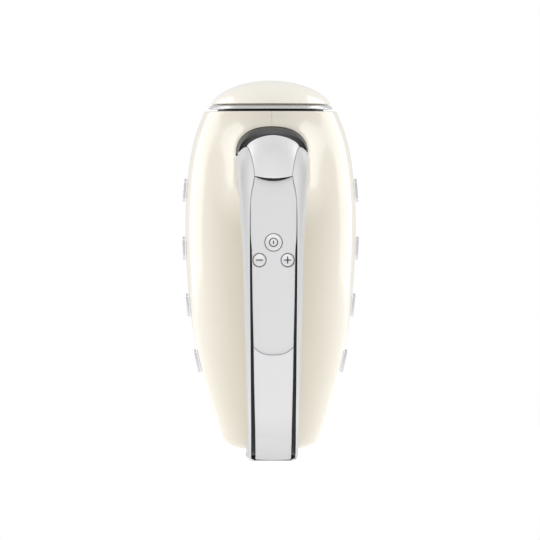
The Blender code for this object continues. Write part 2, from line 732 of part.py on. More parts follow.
def crowned(name, rows, mat, bulge_power=2.0, across=12):
    """A domed shell. Each row is (point, half width, bulge, wall): point(u, v) places a section point."""
    outer, inner = [], []
    for place_point, half, bulge, wall in rows:
        top, under = [], []
        for j in range(across + 1):
            turn = math.pi * (j / across - 0.5)
            s, c = power(math.sin(turn), 2 / bulge_power), power(math.cos(turn), 2 / bulge_power)
            top.append(place_point(half * s, -bulge * c))
            under.append(place_point((half - wall) * s, -(bulge - wall) * c))
        outer.append(top)
        inner.append(under)
    return slab(name, outer, inner, mat)


def make_lens(glass):
    rows = []
    for y in (LENS_FOOT_Y, -48.0, -60.0, -68.0, -71.0, LENS_HEAD_Y):
        shape = at(LENS_HALF, y), at(LENS_BULGE, y), at(LENS_WALL, y)
        rows.append((lambda u, v, y=y: (u, y, LENS_BACK_Z - v), *shape))
    return crowned("display_lens", rows, glass, LENS_POWER)


def eject_point(along, half, u, depth):
    """A point of the eject button, a share of the way along it."""
    last = past_corner(EJECT_END[0] + EJECT_END[1] * (1 - min(1.0, abs(u) / half) ** 2))
    return on_face(EJECT_START + (last - EJECT_START) * along, u, depth)


def make_eject_button(silver):
    rows = []
    for i in range(13):
        place = EJECT_START + (past_corner(EJECT_END[0]) - EJECT_START) * i / 12
        half = min(13.5, at(INNER_HALF, place) - 0.35)
        bulge = at([(1.6, 6.0), (2.0, 6.3), (2.4, 5.6), (2.8, 3.4), (3.0, 2.5)], place)
        rows.append((lambda u, v, a=i / 12, h=half: eject_point(a, h, u, v), half, bulge, EJECT_WALL))
    button = crowned("eject_button", rows, silver, EJECT_POWER, 10)
    fuse(button, cylinder("boss", 3.6, (-96.6, -88.0), (0, 0, EJECT_Z), "Y", steps=16))
    return set_origin(button, 0, -88.0, EJECT_Z)


def make_buttons(steel):
    for name, (x, z, radius) in BUTTONS.items():
        profile = [(0, BUTTON_TOP_Y), (radius - 0.7, BUTTON_TOP_Y), (radius, BUTTON_TOP_Y + 0.7),
                   (radius, BUTTON_FOOT_Y), (1.6, BUTTON_FOOT_Y), (1.6, STEM_FOOT_Y), (0, STEM_FOOT_Y)]
        set_origin(turned(name, profile, (x, 0, z), "Y", steel, 24), x, BUTTON_FOOT_Y, z)


def make_boards(green, dark):
    board = box("control_board", (-9.2, BOARD_Y[0], 66), (9.2, BOARD_Y[1], 136), green)
    for x, z, _ in BUTTONS.values():
        low, high = (max(-9.1, x - 2.4), -90.0, z - 2.4), (min(9.1, x + 2.4), BOARD_Y[0] + 0.4, z + 2.4)
        fuse(board, box("switch", low, high))
    display = box("display_board", (-13.5, -63, 162.6), (13.5, -42, 164.2), green)
    fuse(display, box("segments", (-8.5, -60, 163.9), (8.5, -45, 168.4)))
    power_board = box("power_board", (-12, -21.5, 40), (12, -20, 74), green)
    fuse(power_board, cylinder("capacitor", 4.4, (53, 67), (4, -25.2, 0), "Z", steps=12),
         box("filter_block", (-9, -27, 44), (-2, -21.0, 62)))
    return board, display, power_board


# ---------------------------------------------------------------- eject gear

def make_ejector(steel, plastic):
    profile = [(0, -87.6), (2.5, -87.6), (2.5, -58.5), (5.6, -58.5), (5.6, -56.5), (2.5, -56.5), (2.5, -16.1),
               (0, -16.1)]
    rod = turned("ejector", profile, (0, 0, EJECT_Z), "Y", plastic, 16)
    low, high = (-SPINDLE_X - 3.4, -19.0, SPINDLE_Z - 3.6), (SPINDLE_X + 3.4, -14.0, EJECT_Z + 3.1)
    fuse(rod, box("fork_bar", low, high))
    for side in (-1, 1):
        fuse(rod, cylinder("pin", 2.7, (-15.2, -5.0), (side * SPINDLE_X, 0, SPINDLE_Z), "Y", steps=12))
    set_origin(rod, 0, -19.0, EJECT_Z)
    turns, per_turn, low, high = 6, 8, -56.2, -28.0
    coil = []
    for i in range(turns * per_turn + 1):
        turn = 2 * math.pi * i / per_turn
        y = low + 0.6 + (high - low - 1.2) * i / (turns * per_turn)
        coil.append((4.3 * math.cos(turn), y, EJECT_Z + 4.3 * math.sin(turn)))
    wire("eject_spring", coil, 0.5, steel, 0)
    plate = box("handle_mount_plate", (-24, -27.6, 134.6), (24, -24.6, 163.0), steel)
    carve(plate, cylinder("rod_hole", 3.2, (-40, -10), (0, 0, EJECT_Z), "Y", steps=16))
    for side in (-1, 1):
        carve(plate, screw("screw_hole", mount_screw_place(side), "Y", -1, 20.0, None, GAP))
    return rod, plate


def screw(name, place, axis, direction, length, mat=None, grow=0.0):
    """A countersunk screw with its head at a place; with grow, the cutter for its hole."""
    head = -4.0 if grow else 0.0
    profile = [(0, head), (3.0 + grow, head), (3.0 + grow, 0.3 + grow), (1.5 + grow, 1.8 + grow),
               (1.5 + grow, length - 1.0), (0, length)]
    profile = [(radius, direction * along) for radius, along in profile]
    return turned(name, profile, place, axis, mat, 12)


# ---------------------------------------------------------------- motor

def make_motor(iron, copper, brass, carbon, dark, steel):
    outline = rounded_rectangle(STATOR_HALF, STATOR_HALF, 10.0, 5, (0.0, DRIVE_Y))
    stator = prism("stator_core", outline, STATOR_SPAN, "Z", iron)
    carve(stator, cylinder("armature_bore", STATOR_BORE, (30, 95), (0, DRIVE_Y, 0), "Z", steps=28),
          box("coil_window", (-19.9, DRIVE_Y - 4.6, 30), (19.9, DRIVE_Y + 4.6, 95)))
    for name, side in (("field_coil_upper", -1), ("field_coil_lower", 1)):
        loop = []
        for z, order in ((STATOR_SPAN[0] - 2.6, 1), (STATOR_SPAN[1] + 2.6, -1)):
            for i in range(9):
                turn = math.pi * (i if order > 0 else 8 - i) / 8
                rise = 2.3 + (COIL_RADIUS - 2.3) * math.sin(turn)
                loop.append((COIL_RADIUS * math.cos(turn), DRIVE_Y + side * rise, z))
        wire(name, loop, 1.9, copper, 2, cyclic=True)

    teeth, core = 12, []
    for i in range(teeth):
        for share, radius in ((0.0, ARMATURE_RADIUS), (0.68, ARMATURE_RADIUS), (0.76, 12.6), (0.92, 12.6)):
            turn = 2 * math.pi * (i + share) / teeth
            core.append((radius * math.cos(turn), DRIVE_Y + radius * math.sin(turn)))
    armature = prism("armature_core", core, (47.0, 81.0), "Z", iron)
    carve(armature, cylinder("shaft_hole", SHAFT_RADIUS + GAP, (30, 95), (0, DRIVE_Y, 0), "Z", steps=16))
    commutator = tube("commutator", (SHAFT_RADIUS + GAP, 8.0), (29.0, 39.5), (0, DRIVE_Y, 0), "Z", copper, 20)
    fan = tube("cooling_fan", (SHAFT_RADIUS + GAP, 6.0), (92.0, 101.0), (0, DRIVE_Y, 0), "Z", dark, 20)
    fuse(fan, tube("disc", (5.5, 21.0), (92.0, 93.4), (0, DRIVE_Y, 0), "Z", steps=28))
    for i in range(8):
        blade = box("blade", (5.0, DRIVE_Y - 0.7, 93.0), (20.3, DRIVE_Y + 0.7, 100.0))
        turn = math.pi * i / 4 + 0.2
        for vertex in blade.data.vertices:
            x, y = vertex.co.x, vertex.co.y - DRIVE_Y * MM
            vertex.co.x = x * math.cos(turn) - y * math.sin(turn)
            vertex.co.y = x * math.sin(turn) + y * math.cos(turn) + DRIVE_Y * MM
        fuse(fan, blade)
    shaft = make_worm_shaft(steel)
    for piece in (armature, commutator, fan, shaft):
        set_origin(piece, 0, DRIVE_Y, SPINDLE_Z)

    for side, word in ((-1, "left"), (1, "right")):
        low, high = sorted((side * 8.5, side * 15.0))
        box(f"brush_{word}", (low, DRIVE_Y - 2.2, 31.8), (high, DRIVE_Y + 2.2, 36.8), carbon)
        low, high = sorted((side * 11.0, side * 21.0))
        holder = box(f"brush_holder_{word}", (low, DRIVE_Y - 3.6, 30.4), (high, DRIVE_Y + 3.6, 38.2), brass)
        low, high = sorted((side * 9.0, side * 19.5))
        carve(holder, box("brush_slot", (low, DRIVE_Y - 2.5, 31.5), (high, DRIVE_Y + 2.5, 37.1)))
    tube("rear_bush", (SHAFT_RADIUS + 0.1, 6.0), (18.0, 24.0), (0, DRIVE_Y, 0), "Z", brass, 16)
    bracket = box("brush_bracket", (-21.5, DRIVE_Y - 11, 26.0), (21.5, DRIVE_Y + 11, 28.6), dark)
    fuse(bracket, tube("bush_seat", (6.3, 9.0), (17.0, 27.0), (0, DRIVE_Y, 0), "Z", steps=20))
    carve(bracket, cylinder("bush_hole", 6.3, (10, 40), (0, DRIVE_Y, 0), "Z", steps=20))


def make_worm_shaft(steel):
    """The motor shaft with its two-start worm, cut from a longer thread."""
    per_turn, rows_per_pitch = 20, 4
    pitch = math.pi * MODULE
    lead = WORM_STARTS * pitch
    profile = [(-0.78, WORM_ROOT), (-0.3, WORM_TIP), (0.3, WORM_TIP), (0.78, WORM_ROOT)]
    threads = int((WORM_SPAN[1] - WORM_SPAN[0]) / pitch) + 4 * WORM_STARTS
    threads += threads % 2
    rows, rise = threads * rows_per_pitch, rows_per_pitch * WORM_STARTS
    points = []
    for j in range(rows):
        offset, radius = profile[j % rows_per_pitch]
        if j < rise or j >= rows - rise:
            radius = WORM_ROOT
        height = SPINDLE_Z + (j // rows_per_pitch - threads // 2) * pitch + offset
        for i in range(per_turn):
            turn = 2 * math.pi * i / per_turn
            x, y = radius * math.cos(turn), DRIVE_Y + radius * math.sin(turn)
            points.append((x, y, height + lead * i / per_turn))
    faces = []
    for j in range(rows - 1):
        here, above = j * per_turn, (j + 1) * per_turn
        for i in range(per_turn - 1):
            faces.append((here + i, here + i + 1, above + i + 1, above + i))
        if j + 1 + rise < rows:
            later = (j + rise) * per_turn
            faces.append((here + per_turn - 1, later, later + per_turn, above + per_turn - 1))
    thread = capped("worm_thread", points, faces)
    trim = box("trim", (-9, DRIVE_Y - 9.1, WORM_SPAN[0] + 0.13), (9, DRIVE_Y + 9.2, WORM_SPAN[1] + 0.17))
    boolean(thread, trim, "INTERSECT")
    shaft = cylinder("armature_shaft", SHAFT_RADIUS, SHAFT_SPAN, (0, DRIVE_Y, 0), "Z", steel, 16)
    fuse(shaft, thread)
    finish(shaft, steel)
    return shaft


def capped(name, points, faces):
    """A solid whose open ends are closed, each with one fan from a point at its middle."""
    mesh = bpy.data.meshes.new(name)
    mesh.from_pydata([(x * MM, y * MM, z * MM) for x, y, z in points], [], faces)
    work = bmesh.new()
    work.from_mesh(mesh)
    bmesh.ops.delete(work, geom=[v for v in work.verts if not v.link_faces], context="VERTS")
    rim = [e for e in work.edges if e.is_boundary]
    ends = sorted((sum(v.co.z for v in e.verts), e.index, e) for e in rim)
    middle = (ends[0][0] + ends[-1][0]) / 2
    for low in (True, False):
        end = [e for z, _, e in ends if (z < middle) == low]
        heights = [v.co.z for e in end for v in e.verts]
        tip = min(heights) - 4 * MM if low else max(heights) + 4 * MM
        centre = work.verts.new((0, DRIVE_Y * MM, tip))
        for edge in end:
            work.faces.new((*edge.verts, centre))
    bmesh.ops.recalc_face_normals(work, faces=work.faces)
    work.to_mesh(mesh)
    work.free()
    obj = bpy.data.objects.new(name, mesh)
    bpy.context.scene.collection.objects.link(obj)
    return obj


def make_gears(brass_like, steel, brass, dark):
    pitch = 2 * math.pi / WHEEL_TEETH
    lean = MODULE / WORM_RADIUS / WHEEL_RADIUS          # twist per millimetre of width, matching the worm's lead
    tooth = [(-0.78, WHEEL_ROOT), (-0.36, WHEEL_TIP), (0.36, WHEEL_TIP), (0.78, WHEEL_ROOT)]
    for side, word in ((-1, "left"), (1, "right")):
        x0 = side * SPINDLE_X
        rings = []
        for y in (DRIVE_Y - WHEEL_HALF_WIDTH, DRIVE_Y + WHEEL_HALF_WIDTH):
            ring = []
            for k in range(WHEEL_TEETH):
                for across, radius in tooth:
                    turn = (k + 0.5) * pitch + across / radius - lean * (y - DRIVE_Y)
                    ring.append((x0 + radius * math.cos(turn), y, SPINDLE_Z + radius * math.sin(turn)))
            rings.append(ring)
        wheel = loft(f"worm_wheel_{word}", rings, brass_like)
        carve(wheel, cylinder("bore", SPINDLE_RADII[1] + GAP, (-10, 20), (x0, 0, SPINDLE_Z), "Y", steps=16))
        (bore, outside), (top, mouth) = SPINDLE_RADII, SPINDLE_SPAN
        profile = [(bore, top), (outside, top), (outside, mouth - 3.0), (outside + 0.5, mouth - 2.4),
                   (outside + 0.5, mouth - 0.6), (outside, mouth), (bore + 0.5, mouth), (bore, mouth - 0.8)]
        spindle = turned(f"spindle_{word}", profile, (x0, 0, SPINDLE_Z), "Y", steel, 16)
        radii = (SPINDLE_RADII[1] + 0.15, 8.2)
        tube(f"spindle_bush_{word}", radii, (11.0, 16.5), (x0, 0, SPINDLE_Z), "Y", brass, 16)
        for piece in (wheel, spindle):
            set_origin(piece, x0, DRIVE_Y, SPINDLE_Z)
    carrier = box("gear_carrier", (-30, 11.6, 115.9), (30, 14.6, 171.3), dark)
    fuse(carrier, box("rear_wall", (-12, -5, 116), (12, 12.5, 120)),
         box("front_wall", (-9, -3, 167.2), (9, 12.5, 171)))
    for side in (-1, 1):
        carve(carrier, cylinder("bush_hole", 8.5, (5, 25), (side * SPINDLE_X, 0, SPINDLE_Z), "Y", steps=20))
    carve(carrier, cylinder("bush_hole", 6.3, (110, 125), (0, DRIVE_Y, 0), "Z", steps=20),
          cylinder("bush_hole", 4.8, (160, 180), (0, DRIVE_Y, 0), "Z", steps=20))
    tube("middle_bush", (SHAFT_RADIUS + 0.1, 6.0), (115.5, 120.5), (0, DRIVE_Y, 0), "Z", brass, 16)
    tube("front_bush", (SHAFT_RADIUS + 0.1, 4.5), (167.0, 171.2), (0, DRIVE_Y, 0), "Z", brass, 16)


# ---------------------------------------------------------------- beaters

def make_beater(word, side, steel):
    """A shaft with a collar, and two crossed wire bows that meet at the tip."""
    x0 = side * SPINDLE_X
    profile = [(0, BEATER_TOP_Y), (BEATER_SHAFT - 0.8, BEATER_TOP_Y), (BEATER_SHAFT, BEATER_TOP_Y + 1.0),
               (BEATER_SHAFT, 50.0), (4.6, 50.6), (4.6, 53.0), (BEATER_SHAFT, 53.6), (BEATER_SHAFT, BEATER_HUB_Y - 7),
               (4.4, BEATER_HUB_Y - 5), (4.4, BEATER_HUB_Y + 4), (2.4, BEATER_HUB_Y + 6), (0, BEATER_HUB_Y + 6)]
    beater = turned(f"beater_{word}", profile, (x0, 0, SPINDLE_Z), "Y", steel, 12)
    bow = [(2.2, BEATER_HUB_Y), (6.5, BEATER_HUB_Y + 3.0), (15.0, BEATER_HUB_Y + 9.0), (19.6, BEATER_HUB_Y + 17.0),
           (BEATER_HALF, BEATER_HUB_Y + 28.0), (BEATER_HALF - 1.2, BEATER_HUB_Y + 48.0),
           (17.2, BEATER_TIP_Y - 16.0), (12.8, BEATER_TIP_Y - 6.0), (6.5, BEATER_TIP_Y - 2.0)]
    for cross in range(2):
        tip = BEATER_TIP_Y - WIRE - 1.1 * cross
        half = bow + [(0.0, tip)]
        path = half + [(-r, y) for r, y in reversed(bow)]
        turn = BEATER_PHASE + math.pi / 2 * cross
        fuse(beater, wire("bow", [(x0 + r * math.cos(turn), y, SPINDLE_Z + r * math.sin(turn)) for r, y in path],
                          WIRE, None, 1))
    finish(beater, steel)
    return set_origin(beater, x0, DRIVE_Y, SPINDLE_Z)


# ---------------------------------------------------------------- side dashes

def make_dashes(chrome):
    for side, word in ((-1, "left"), (1, "right")):
        for row, z in enumerate(DASH_HEIGHTS):
            below, above = (smooth_at(BODY_STATIONS, z + d)[0] for d in (-5.0, 5.0))
            slope = math.atan2(above - below, 10.0)
            reach = smooth_at(BODY_STATIONS, z)[0] + GAP + 0.05
            rings = []
            for out, shrink in ((0.0, 0.0), (DASH_THICKNESS - 0.6, 0.0), (DASH_THICKNESS, 0.6)):
                ring = []
                half_v, half_w = DASH_WIDTH / 2 - shrink, DASH_LENGTH / 2 - shrink
                for v, w in rounded_rectangle(half_v, half_w, half_v - 0.05, 4):
                    x = reach + out * math.cos(slope) + w * math.sin(slope)
                    ring.append((side * x, v, z + w * math.cos(slope) - out * math.sin(slope)))
                rings.append(ring)
            loft(f"side_dash_{word}_{row + 1}", rings, chrome)


# ---------------------------------------------------------------- assembly

def main():
    clear_scene()
    cream = material("cream_gloss", (0.86, 0.78, 0.63), 0.18)
    silver = material("satin_silver", (0.74, 0.74, 0.75), 0.32, 0.85)
    satin = material("panel_silver", (0.66, 0.66, 0.67), 0.38, 0.8)
    chrome = material("chrome", (0.8, 0.8, 0.82), 0.08, 1.0)
    glass = material("black_lens", (0.01, 0.01, 0.012), 0.06)
    dark = material("black_plastic", (0.03, 0.03, 0.03), 0.5)
    rubber = material("rubber", (0.02, 0.02, 0.02), 0.8)
    steel = material("steel", (0.62, 0.62, 0.63), 0.2, 1.0)
    iron = material("laminated_iron", (0.22, 0.22, 0.23), 0.5, 0.9)
    copper = material("copper", (0.72, 0.35, 0.18), 0.35, 1.0)
    brass = material("brass", (0.7, 0.52, 0.24), 0.35, 1.0)
    carbon = material("carbon", (0.05, 0.05, 0.05), 0.7)
    nylon = material("nylon", (0.75, 0.74, 0.7), 0.45)
    green = material("circuit_board", (0.03, 0.18, 0.08), 0.45)

    make_housings(cream)
    make_underside(cream, dark, rubber)
    make_nose(cream, chrome, dark)
    make_frame(silver)
    make_core(dark)
    make_panels(satin, silver)
    make_foot(rubber)
    make_lens(glass)
    make_eject_button(silver)
    make_buttons(chrome)
    make_boards(green, dark)
    make_ejector(steel, nylon)
    make_motor(iron, copper, brass, carbon, dark, steel)
    make_gears(nylon, steel, brass, dark)
    make_beater("left", -1, steel)
    make_beater("right", 1, steel)
    make_dashes(chrome)
    for side, word in ((-1, "left"), (1, "right")):
        screw(f"heel_screw_{word}", heel_screw_place(side), "Z", 1, 8.5, steel)
        screw(f"mount_screw_{word}", mount_screw_place(side), "Y", -1, 14.0, steel)


main()
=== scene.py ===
"""The looks of a retro hand mixer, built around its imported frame. Helper functions work in millimetres."""

import json
import math

import bmesh
import bpy
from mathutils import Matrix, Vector

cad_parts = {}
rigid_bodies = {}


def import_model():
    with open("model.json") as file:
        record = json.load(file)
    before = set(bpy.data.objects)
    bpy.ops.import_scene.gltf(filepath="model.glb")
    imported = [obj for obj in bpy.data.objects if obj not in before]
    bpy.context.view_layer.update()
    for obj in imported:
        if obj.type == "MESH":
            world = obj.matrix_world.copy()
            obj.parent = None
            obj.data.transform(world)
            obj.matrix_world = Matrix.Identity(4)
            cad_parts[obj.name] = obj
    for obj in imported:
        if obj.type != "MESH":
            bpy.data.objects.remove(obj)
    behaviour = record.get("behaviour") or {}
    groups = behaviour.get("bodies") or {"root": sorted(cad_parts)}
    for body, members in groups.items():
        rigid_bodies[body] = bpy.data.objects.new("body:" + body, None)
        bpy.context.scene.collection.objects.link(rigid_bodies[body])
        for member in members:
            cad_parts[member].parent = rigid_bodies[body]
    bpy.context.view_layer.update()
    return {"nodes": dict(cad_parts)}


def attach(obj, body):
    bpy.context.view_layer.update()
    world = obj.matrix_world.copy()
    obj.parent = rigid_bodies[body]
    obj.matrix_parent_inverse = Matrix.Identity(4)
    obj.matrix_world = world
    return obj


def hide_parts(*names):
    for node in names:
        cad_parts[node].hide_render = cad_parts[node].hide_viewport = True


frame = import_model()

MM = 0.001
BODY = "mixer"


# ---------------------------------------------------------------- materials

class Value:
    """A socket in a material; arithmetic on it adds Math nodes."""

    def __init__(self, finish, socket):
        self.finish, self.socket = finish, socket

    def math(self, operation, *others):
        inputs = {i: value for i, value in enumerate((self, *others))}
        return self.finish.add("ShaderNodeMath", {"operation": operation}, inputs)

    def __add__(self, other):
        return self.math("ADD", other)

    __radd__ = __add__

    def __mul__(self, other):
        return self.math("MULTIPLY", other)

    __rmul__ = __mul__

    def __sub__(self, other):
        return self.math("SUBTRACT", other)

    def __rsub__(self, other):
        return self * -1 + other

    def __truediv__(self, other):
        return self.math("DIVIDE", other)

    def __pow__(self, other):
        return self.math("POWER", other)

    def between(self, low, high):
        """0 at low, 1 at high, straight between and clamped outside."""
        settings = {"clamp": True}
        return self.finish.add("ShaderNodeMapRange", settings,
                               {"Value": self, "From Min": low, "From Max": high})


class Finish:
    """A procedural material on a Principled shader, with patterns in Object coordinates."""

    def __init__(self, name, **constants):
        self.material = bpy.data.materials.new(name)
        self.material.use_nodes = True
        self.tree = self.material.node_tree
        self.shader = self.tree.nodes["Principled BSDF"]
        self.place = self.add("ShaderNodeTexCoord", out="Object")
        for socket, value in constants.items():
            self.set(socket.replace("_", " ").title().replace("Ior", "IOR"), value)

    def add(self, kind, settings=None, inputs=None, out=0):
        node = self.tree.nodes.new(kind)
        for key, value in (settings or {}).items():
            if key == "stops":
                self.ramp(node, value)
            else:
                setattr(node, key, value)
        for key, value in (inputs or {}).items():
            self.feed(node.inputs[key], value)
        return Value(self, node.outputs[out])

    def ramp(self, node, stops):
        elements = node.color_ramp.elements
        for spot, colour in stops[2:]:
            elements.new(spot)
        for element, (spot, colour) in zip(elements, stops):
            element.position, element.color = spot, (*colour, 1.0)

    def feed(self, socket, value):
        if isinstance(value, Value):
            self.tree.links.new(value.socket, socket)
        elif isinstance(value, tuple) and len(value) == 3 and socket.type == "RGBA":
            socket.default_value = (*value, 1.0)
        else:
            socket.default_value = value

    def set(self, socket, value):
        self.feed(self.shader.inputs[socket], value)

    def noise(self, scale, detail=3.0, stretch=(1.0, 1.0, 1.0), roughness=0.5):
        """Noise from 0 to 1 with about scale bumps to the metre."""
        place = self.add("ShaderNodeMapping", None, {"Vector": self.place, "Scale": stretch})
        return self.add("ShaderNodeTexNoise", None,
                        {"Vector": place, "Scale": scale, "Detail": detail, "Roughness": roughness})

    def cells(self, scale, feature="F1", out="Distance"):
        return self.add("ShaderNodeTexVoronoi", {"feature": feature},
                        {"Vector": self.place, "Scale": scale}, out)

    def blend(self, share, first, second):
        """A colour between two colours."""
        return self.add("ShaderNodeMix", {"data_type": "RGBA"}, {0: share, 6: first, 7: second}, 2)

    def bump(self, height, distance, strength=1.0):
        inputs = {"Height": height, "Distance": distance * MM, "Strength": strength}
        self.set("Normal", self.add("ShaderNodeBump", None, inputs))

    def axes(self):
        split = self.add("ShaderNodeSeparateXYZ", None, {"Vector": self.place})
        node = split.socket.node
        return [Value(self, node.outputs[i]) for i in range(3)]


def scaled(colour, share):
    return tuple(min(1.0, c * share) for c in colour)


def enamel(name, colour, warm):
    """Glossy moulded shell with orange peel and fine handling marks; painted shade deepens its tone behind
    the grip, and painted light pales the nose dome.
    """
    made = Finish(name, roughness=0.2, coat_weight=0.5, coat_roughness=0.05, ior=1.5)
    cloud = made.noise(14, 4)
    grain = made.noise(900, 2)
    across, along, up = made.axes()
    # Painted shade: close under the handle the shell is painted a darker, warmer cream, for the shade the
    # grip casts there.
    behind = across.math("ABSOLUTE").between(0.034, 0.012) * along.between(-0.012, -0.034)
    behind = behind * up.between(0.15, 0.115)
    base = made.blend(cloud.between(0.3, 0.7), colour, warm)
    base = made.blend(behind, base, tuple(c * d for c, d in zip(colour, (0.84, 0.82, 0.76))))
    # Painted light: everything above 187 mm, which is the nose dome, is painted a paler cream for the light
    # on its top.
    made.set("Base Color", made.blend(up.between(0.1872, 0.1885), base, (0.95, 0.91, 0.81)))
    marks = made.noise(60, 5, (1, 1, 0.25), 0.65).between(0.45, 0.8)
    made.set("Roughness", 0.15 + marks * 0.07 + grain * 0.04)
    made.bump(made.noise(260, 2) + grain * 0.25, 0.012, 0.6)
    return made.material


def satin_paint(name, colour, roughness, metallic, flank=1.0):
    """Silver paint with metallic flake under a satin clear layer, with painted shade darkening it round the
    strap's outer flanks and near the heel.
    """
    made = Finish(name, metallic=metallic, coat_weight=0.12, coat_roughness=0.25)
    flake = made.cells(4200, out="Color")
    flake = made.add("ShaderNodeSeparateColor", None, {"Color": flake})
    haze = made.noise(30, 4)
    shade = flake * 0.5 + haze * 0.5
    across, _, up = made.axes()
    # Painted shade: the colour darkens to two thirds toward the strap's outer flanks, and toward its bottom
    # near the heel, where the surface turns away from the light.
    edge = 0.0134 + (up - 0.013) * 0.0175 + up.math("MAXIMUM", 0.11).math("SUBTRACT", 0.11) ** 2 * 0.9
    outward = (across.math("ABSOLUTE") - 0.0122) / (edge - 0.0122)
    heel = up.between(0.024, 0.0)
    painted_flank_shade = (outward.between(0.0, 1.0) * flank + heel * 0.45).between(0.0, 1.0)
    base = made.blend(shade, scaled(colour, 0.96), scaled(colour, 1.04))
    made.set("Base Color", made.blend(painted_flank_shade, base, scaled(colour, 0.66)))
    made.set("Roughness", roughness + flake * 0.05 + haze.between(0.3, 0.8) * 0.06)
    made.bump(made.noise(1500, 2) + flake * 0.4, 0.006, 0.5)
    return made.material


def polished(name, colour, roughness):
    """Bright plated or polished metal with hairline marks and a trace of handling."""
    made = Finish(name, metallic=1.0)
    smudge = made.noise(45, 4).between(0.4, 0.75)
    hair = made.noise(700, 3, (1, 0.06, 1))
    made.set("Base Color", made.blend(smudge, colour, scaled(colour, 0.93)))
    made.set("Roughness", roughness + smudge * 0.06 + hair * 0.03)
    made.bump(hair, 0.003, 0.5)
    return made.material


def brushed(name, colour, roughness, stretch):
    """Metal with fine drawn lines along one axis."""
    made = Finish(name, metallic=1.0)
    lines = made.noise(1500, 3, stretch)
    patch = made.noise(25, 3)
    made.set("Base Color", made.blend(lines * 0.6 + patch * 0.4, scaled(colour, 0.86), scaled(colour, 1.06)))
    made.set("Roughness", roughness + lines * 0.12 + patch * 0.05)
    made.bump(lines, 0.006, 0.6)
    return made.material


def moulded(name, colour, roughness, grain=900, depth=0.02):
    """Fine-textured moulded plastic or rubber, paler where the texture stands up."""
    made = Finish(name)
    fine = made.noise(grain, 3)
    dust = made.noise(40, 5).between(0.45, 0.8)
    made.set("Base Color", made.blend(fine * 0.5 + dust * 0.4, scaled(colour, 0.85),
                                      tuple(c * 1.15 + 0.006 for c in colour)))
    made.set("Roughness", roughness + fine * 0.12 - dust * 0.05)
    made.bump(fine + made.cells(grain * 1.6) * 0.5, depth, 0.7)
    return made.material


def smoked_lens(name):
    """Glossy black window with faint polishing swirls in its gloss: painted shade keeps its outer rim
    near-black, and a painted sheen greys its inner part near its base.
    """
    made = Finish(name, specular_ior_level=0.1)
    across, _, up = made.axes()
    # Painted light and shade: an oval mask, 1 in the window's inner part and 0 at its rim, paints a grey
    # sheen inside and a near-black shadow at the rim.
    front = ((across / 0.019) ** 2 + ((up - 0.161) / 0.0146) ** 2).between(0.9, 0.5)
    haze = made.noise(35, 4) * 0.2
    made.set("Base Color", made.blend(front * 0.9 + haze * 0.3, (0.004, 0.004, 0.0045), (0.14, 0.14, 0.145)))
    made.set("Roughness", 0.42 + made.noise(220, 4, (1, 3, 1)).between(0.5, 0.9) * 0.06)
    made.bump(made.noise(120, 2), 0.004, 0.4)
    return made.material


def spun(name, colour, x, z):
    """A button's face, turned in fine rings about its own axis, with wear towards the middle."""
    made = Finish(name, metallic=0.75)
    across, _, up = made.axes()
    radius = ((across - x * MM) ** 2 + (up - z * MM) ** 2) ** 0.5
    rings = made.add("ShaderNodeTexNoise", {"noise_dimensions": "1D"},
                     {"W": radius, "Scale": 5200, "Detail": 2.0})
    wear = radius.between(0.0045, 0.0)
    made.set("Base Color", made.blend(rings * 0.7 + wear * 0.2, scaled(colour, 0.9), scaled(colour, 1.05)))
    made.set("Roughness", 0.26 + rings * 0.12 - wear * 0.05)
    made.bump(rings, 0.006, 0.6)
    return made.material


def layered(name, colour, dark, pitch, metallic, roughness):
    """Stacked sheets or windings: lines at a pitch across Z."""
    made = Finish(name, metallic=metallic)
    _, _, up = made.axes()
    wave = (up * (2 * math.pi / (pitch * MM))).math("SINE") * 0.5 + 0.5
    spots = made.noise(300, 3)
    made.set("Base Color", made.blend(wave * 0.7 + spots * 0.3, dark, colour))
    made.set("Roughness", roughness + spots * 0.15)
    made.bump(wave, 0.08, 0.8)
    return made.material


def board_laminate(name):
    """Green board with paler tracks and dark specks of flux."""
    made = Finish(name)
    tracks = made.cells(420, "DISTANCE_TO_EDGE").between(0.09, 0.05)
    made.set("Base Color", made.blend(tracks, (0.01, 0.09, 0.035), (0.06, 0.26, 0.1)))
    made.set("Roughness", 0.35 + made.noise(200, 3) * 0.2)
    made.bump(tracks, 0.03, 0.6)
    return made.material


CREAM = enamel("cream_enamel", (0.8, 0.75, 0.645), (0.825, 0.775, 0.67))
SILVER = satin_paint("satin_silver", (0.77, 0.77, 0.78), 0.5, 0.2)
PANEL = satin_paint("panel_silver", (0.74, 0.74, 0.75), 0.5, 0.2)
CHROME = polished("chrome_plate", (0.72, 0.72, 0.74), 0.2)
LENS = smoked_lens("smoked_lens")
BLACK = moulded("black_moulding", (0.02, 0.02, 0.021), 0.42)
RUBBER = moulded("foot_rubber", (0.022, 0.022, 0.022), 0.72, 600, 0.04)
INK = moulded("symbol_ink", (0.012, 0.012, 0.013), 0.5)
STEEL = brushed("beater_steel", (0.68, 0.68, 0.69), 0.14, (1, 0.03, 1))
SHAFT_STEEL = brushed("shaft_steel", (0.55, 0.55, 0.56), 0.22, (1, 1, 0.05))
IRON = layered("motor_iron", (0.3, 0.3, 0.31), (0.12, 0.12, 0.13), 0.7, 0.8, 0.4)
COPPER = layered("copper_windings", (0.75, 0.34, 0.16), (0.4, 0.13, 0.05), 0.6, 0.9, 0.3)
BRASS = brushed("sintered_brass", (0.66, 0.48, 0.2), 0.3, (1, 1, 1))
CARBON = moulded("brush_carbon", (0.04, 0.04, 0.042), 0.55)
NYLON = moulded("gear_nylon", (0.72, 0.7, 0.62), 0.38)
BOARD = board_laminate("board_laminate")


# ---------------------------------------------------------------- mesh helpers

